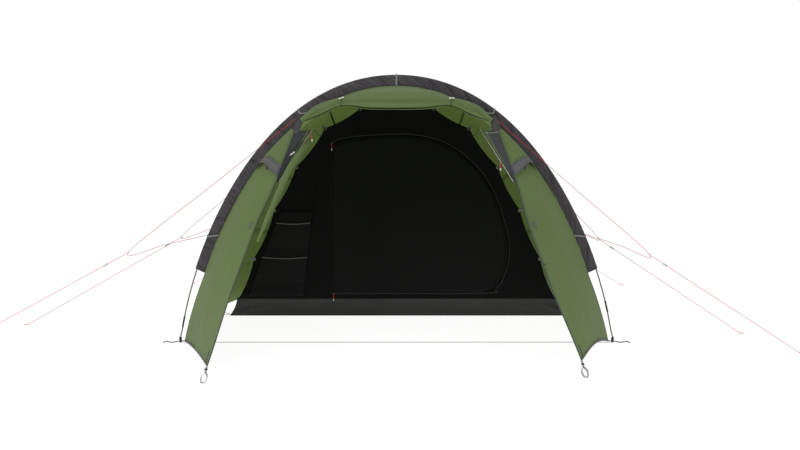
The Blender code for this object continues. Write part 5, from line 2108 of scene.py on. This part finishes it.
def add_slider(name, lean):
    """A cast slider with a red cord loop in a light moulded grip."""
    low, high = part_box(name)
    middle = (low + high) / 2
    head = Vector((middle.x, middle.y, high.z - 0.006))
    made = edit_new(bpy.ops.mesh.primitive_cube_add, size=1.0)
    bpy.ops.mesh.select_all(action="SELECT")
    bpy.ops.transform.resize(value=(0.010, 0.0036, 0.012))
    pick(made, "FACE", lambda place, face: face.normal.z > 0.9)
    bpy.ops.transform.resize(value=(0.72, 1.0, 1.0))
    pick(made, "FACE", lambda place, face: face.normal.y < -0.9)
    bpy.ops.mesh.inset(thickness=0.0026, depth=0.0)
    bpy.ops.mesh.extrude_region_move(TRANSFORM_OT_translate={"value": (0.0, -0.0016, 0.0)})
    pick(made, "EDGE", lambda place, edge: True)
    bpy.ops.mesh.bevel(offset=0.0005, segments=2)
    close_edit(made, name + "_slider", metal("slider metal", 0.12, 0.42))
    lay_in_place(made, head, (0.0, 0.0, 1.0))
    settle(made, name, [name])
    end = Vector((middle.x + lean * 0.03, middle.y - 0.001, low.z + 0.012))
    top = head + Vector((0.0, -0.0022, -0.003))
    shape = Shape()
    for aside in (-0.0017, 0.0017):
        path = [top + Vector((aside * 0.4, 0.0, 0.0)), top.lerp(end, 0.4) + Vector((aside, -0.0006, 0.0)),
                end + Vector((aside, 0.0, 0.0))]
        add_tube(shape, smooth_path(path, 14), 0.0015, 8)
    shape.finish(name + "_cord", braid(*colours().red), body=name, slot="zip_pull")
    made = edit_new(bpy.ops.mesh.primitive_cube_add, size=1.0)
    bpy.ops.mesh.select_all(action="SELECT")
    bpy.ops.transform.resize(value=(0.0088, 0.0040, 0.016))
    pick(made, "FACE", lambda place, face: face.normal.z > 0.9)
    bpy.ops.transform.resize(value=(0.74, 0.9, 1.0))
    pick(made, "FACE", lambda place, face: abs(face.normal.y) > 0.9)
    bpy.ops.mesh.inset(thickness=0.0018, depth=-0.0005, use_individual=True)
    pick(made, "EDGE", lambda place, edge: abs(place.x) > 0.0028)
    bpy.ops.mesh.bevel(offset=0.0009, segments=2)
    close_edit(made, name + "_grip", plastic("pull plastic", 0.52, 0.52, 0.49, 0.5))
    lay_in_place(made, end - Vector((0.0, 0.0, 0.004)), (0.0, 0.0, 1.0))
    return settle(made, name)


# -------------------------------------------------------------------- straps
class TENT_OT_threshold(bpy.types.Operator):
    """Make the strap on the ground between the front feet"""
    bl_idname = "tent.threshold"
    bl_label = "Threshold strap"

    def execute(self, context):
        low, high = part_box("threshold_strap")
        shape = Shape()
        path = []
        for x in spread(low.x, high.x, 120):
            path.append(Vector((x, FRONT_Y + 0.004 * ripple(x * 0.8, 0.0, 91.0), 0.0012)))
        add_ribbon(shape, path, Vector((0.0, 1.0, 0.0)), 0.014, 0.0014)
        shape.finish("threshold_webbing", webbing(0.90), slot="webbing", replaces=["threshold_strap"])
        return {"FINISHED"}


# --------------------------------------------------------------------- panel
PIECES = (TENT_OT_stage, TENT_OT_guys, TENT_OT_poles, TENT_OT_sleeves, TENT_OT_fly, TENT_OT_wings,
          TENT_OT_porch_door, TENT_OT_inner, TENT_OT_zips, TENT_OT_threshold)


class TENT_PT_panel(bpy.types.Panel):
    """Lists the tent's pieces in the sidebar."""
    bl_idname = "TENT_PT_panel"
    bl_label = "Tunnel Tent"
    bl_space_type = "VIEW_3D"
    bl_region_type = "UI"
    bl_category = "Tent"

    def draw(self, context):
        for piece in PIECES:
            self.layout.operator(piece.bl_idname)


CLASSES = (TentSizes, TentColours, *PIECES, TENT_PT_panel)


def register():
    """Register the add-on's classes and settings."""
    for item in CLASSES:
        bpy.utils.register_class(item)
    bpy.types.Scene.tent_sizes = bpy.props.PointerProperty(type=TentSizes)
    bpy.types.Scene.tent_colours = bpy.props.PointerProperty(type=TentColours)


def unregister():
    """Remove the add-on's settings and classes."""
    del bpy.types.Scene.tent_colours
    del bpy.types.Scene.tent_sizes
    for item in reversed(CLASSES):
        bpy.utils.unregister_class(item)


def main():
    """Make every piece."""
    register()
    bpy.ops.tent.stage()
    bpy.ops.tent.guys()
    bpy.ops.tent.poles()
    bpy.ops.tent.sleeves()
    bpy.ops.tent.fly()
    bpy.ops.tent.wings()
    bpy.ops.tent.porch_door()
    bpy.ops.tent.inner()
    bpy.ops.tent.zips()
    bpy.ops.tent.threshold()


if __name__ == "__main__":
    main()
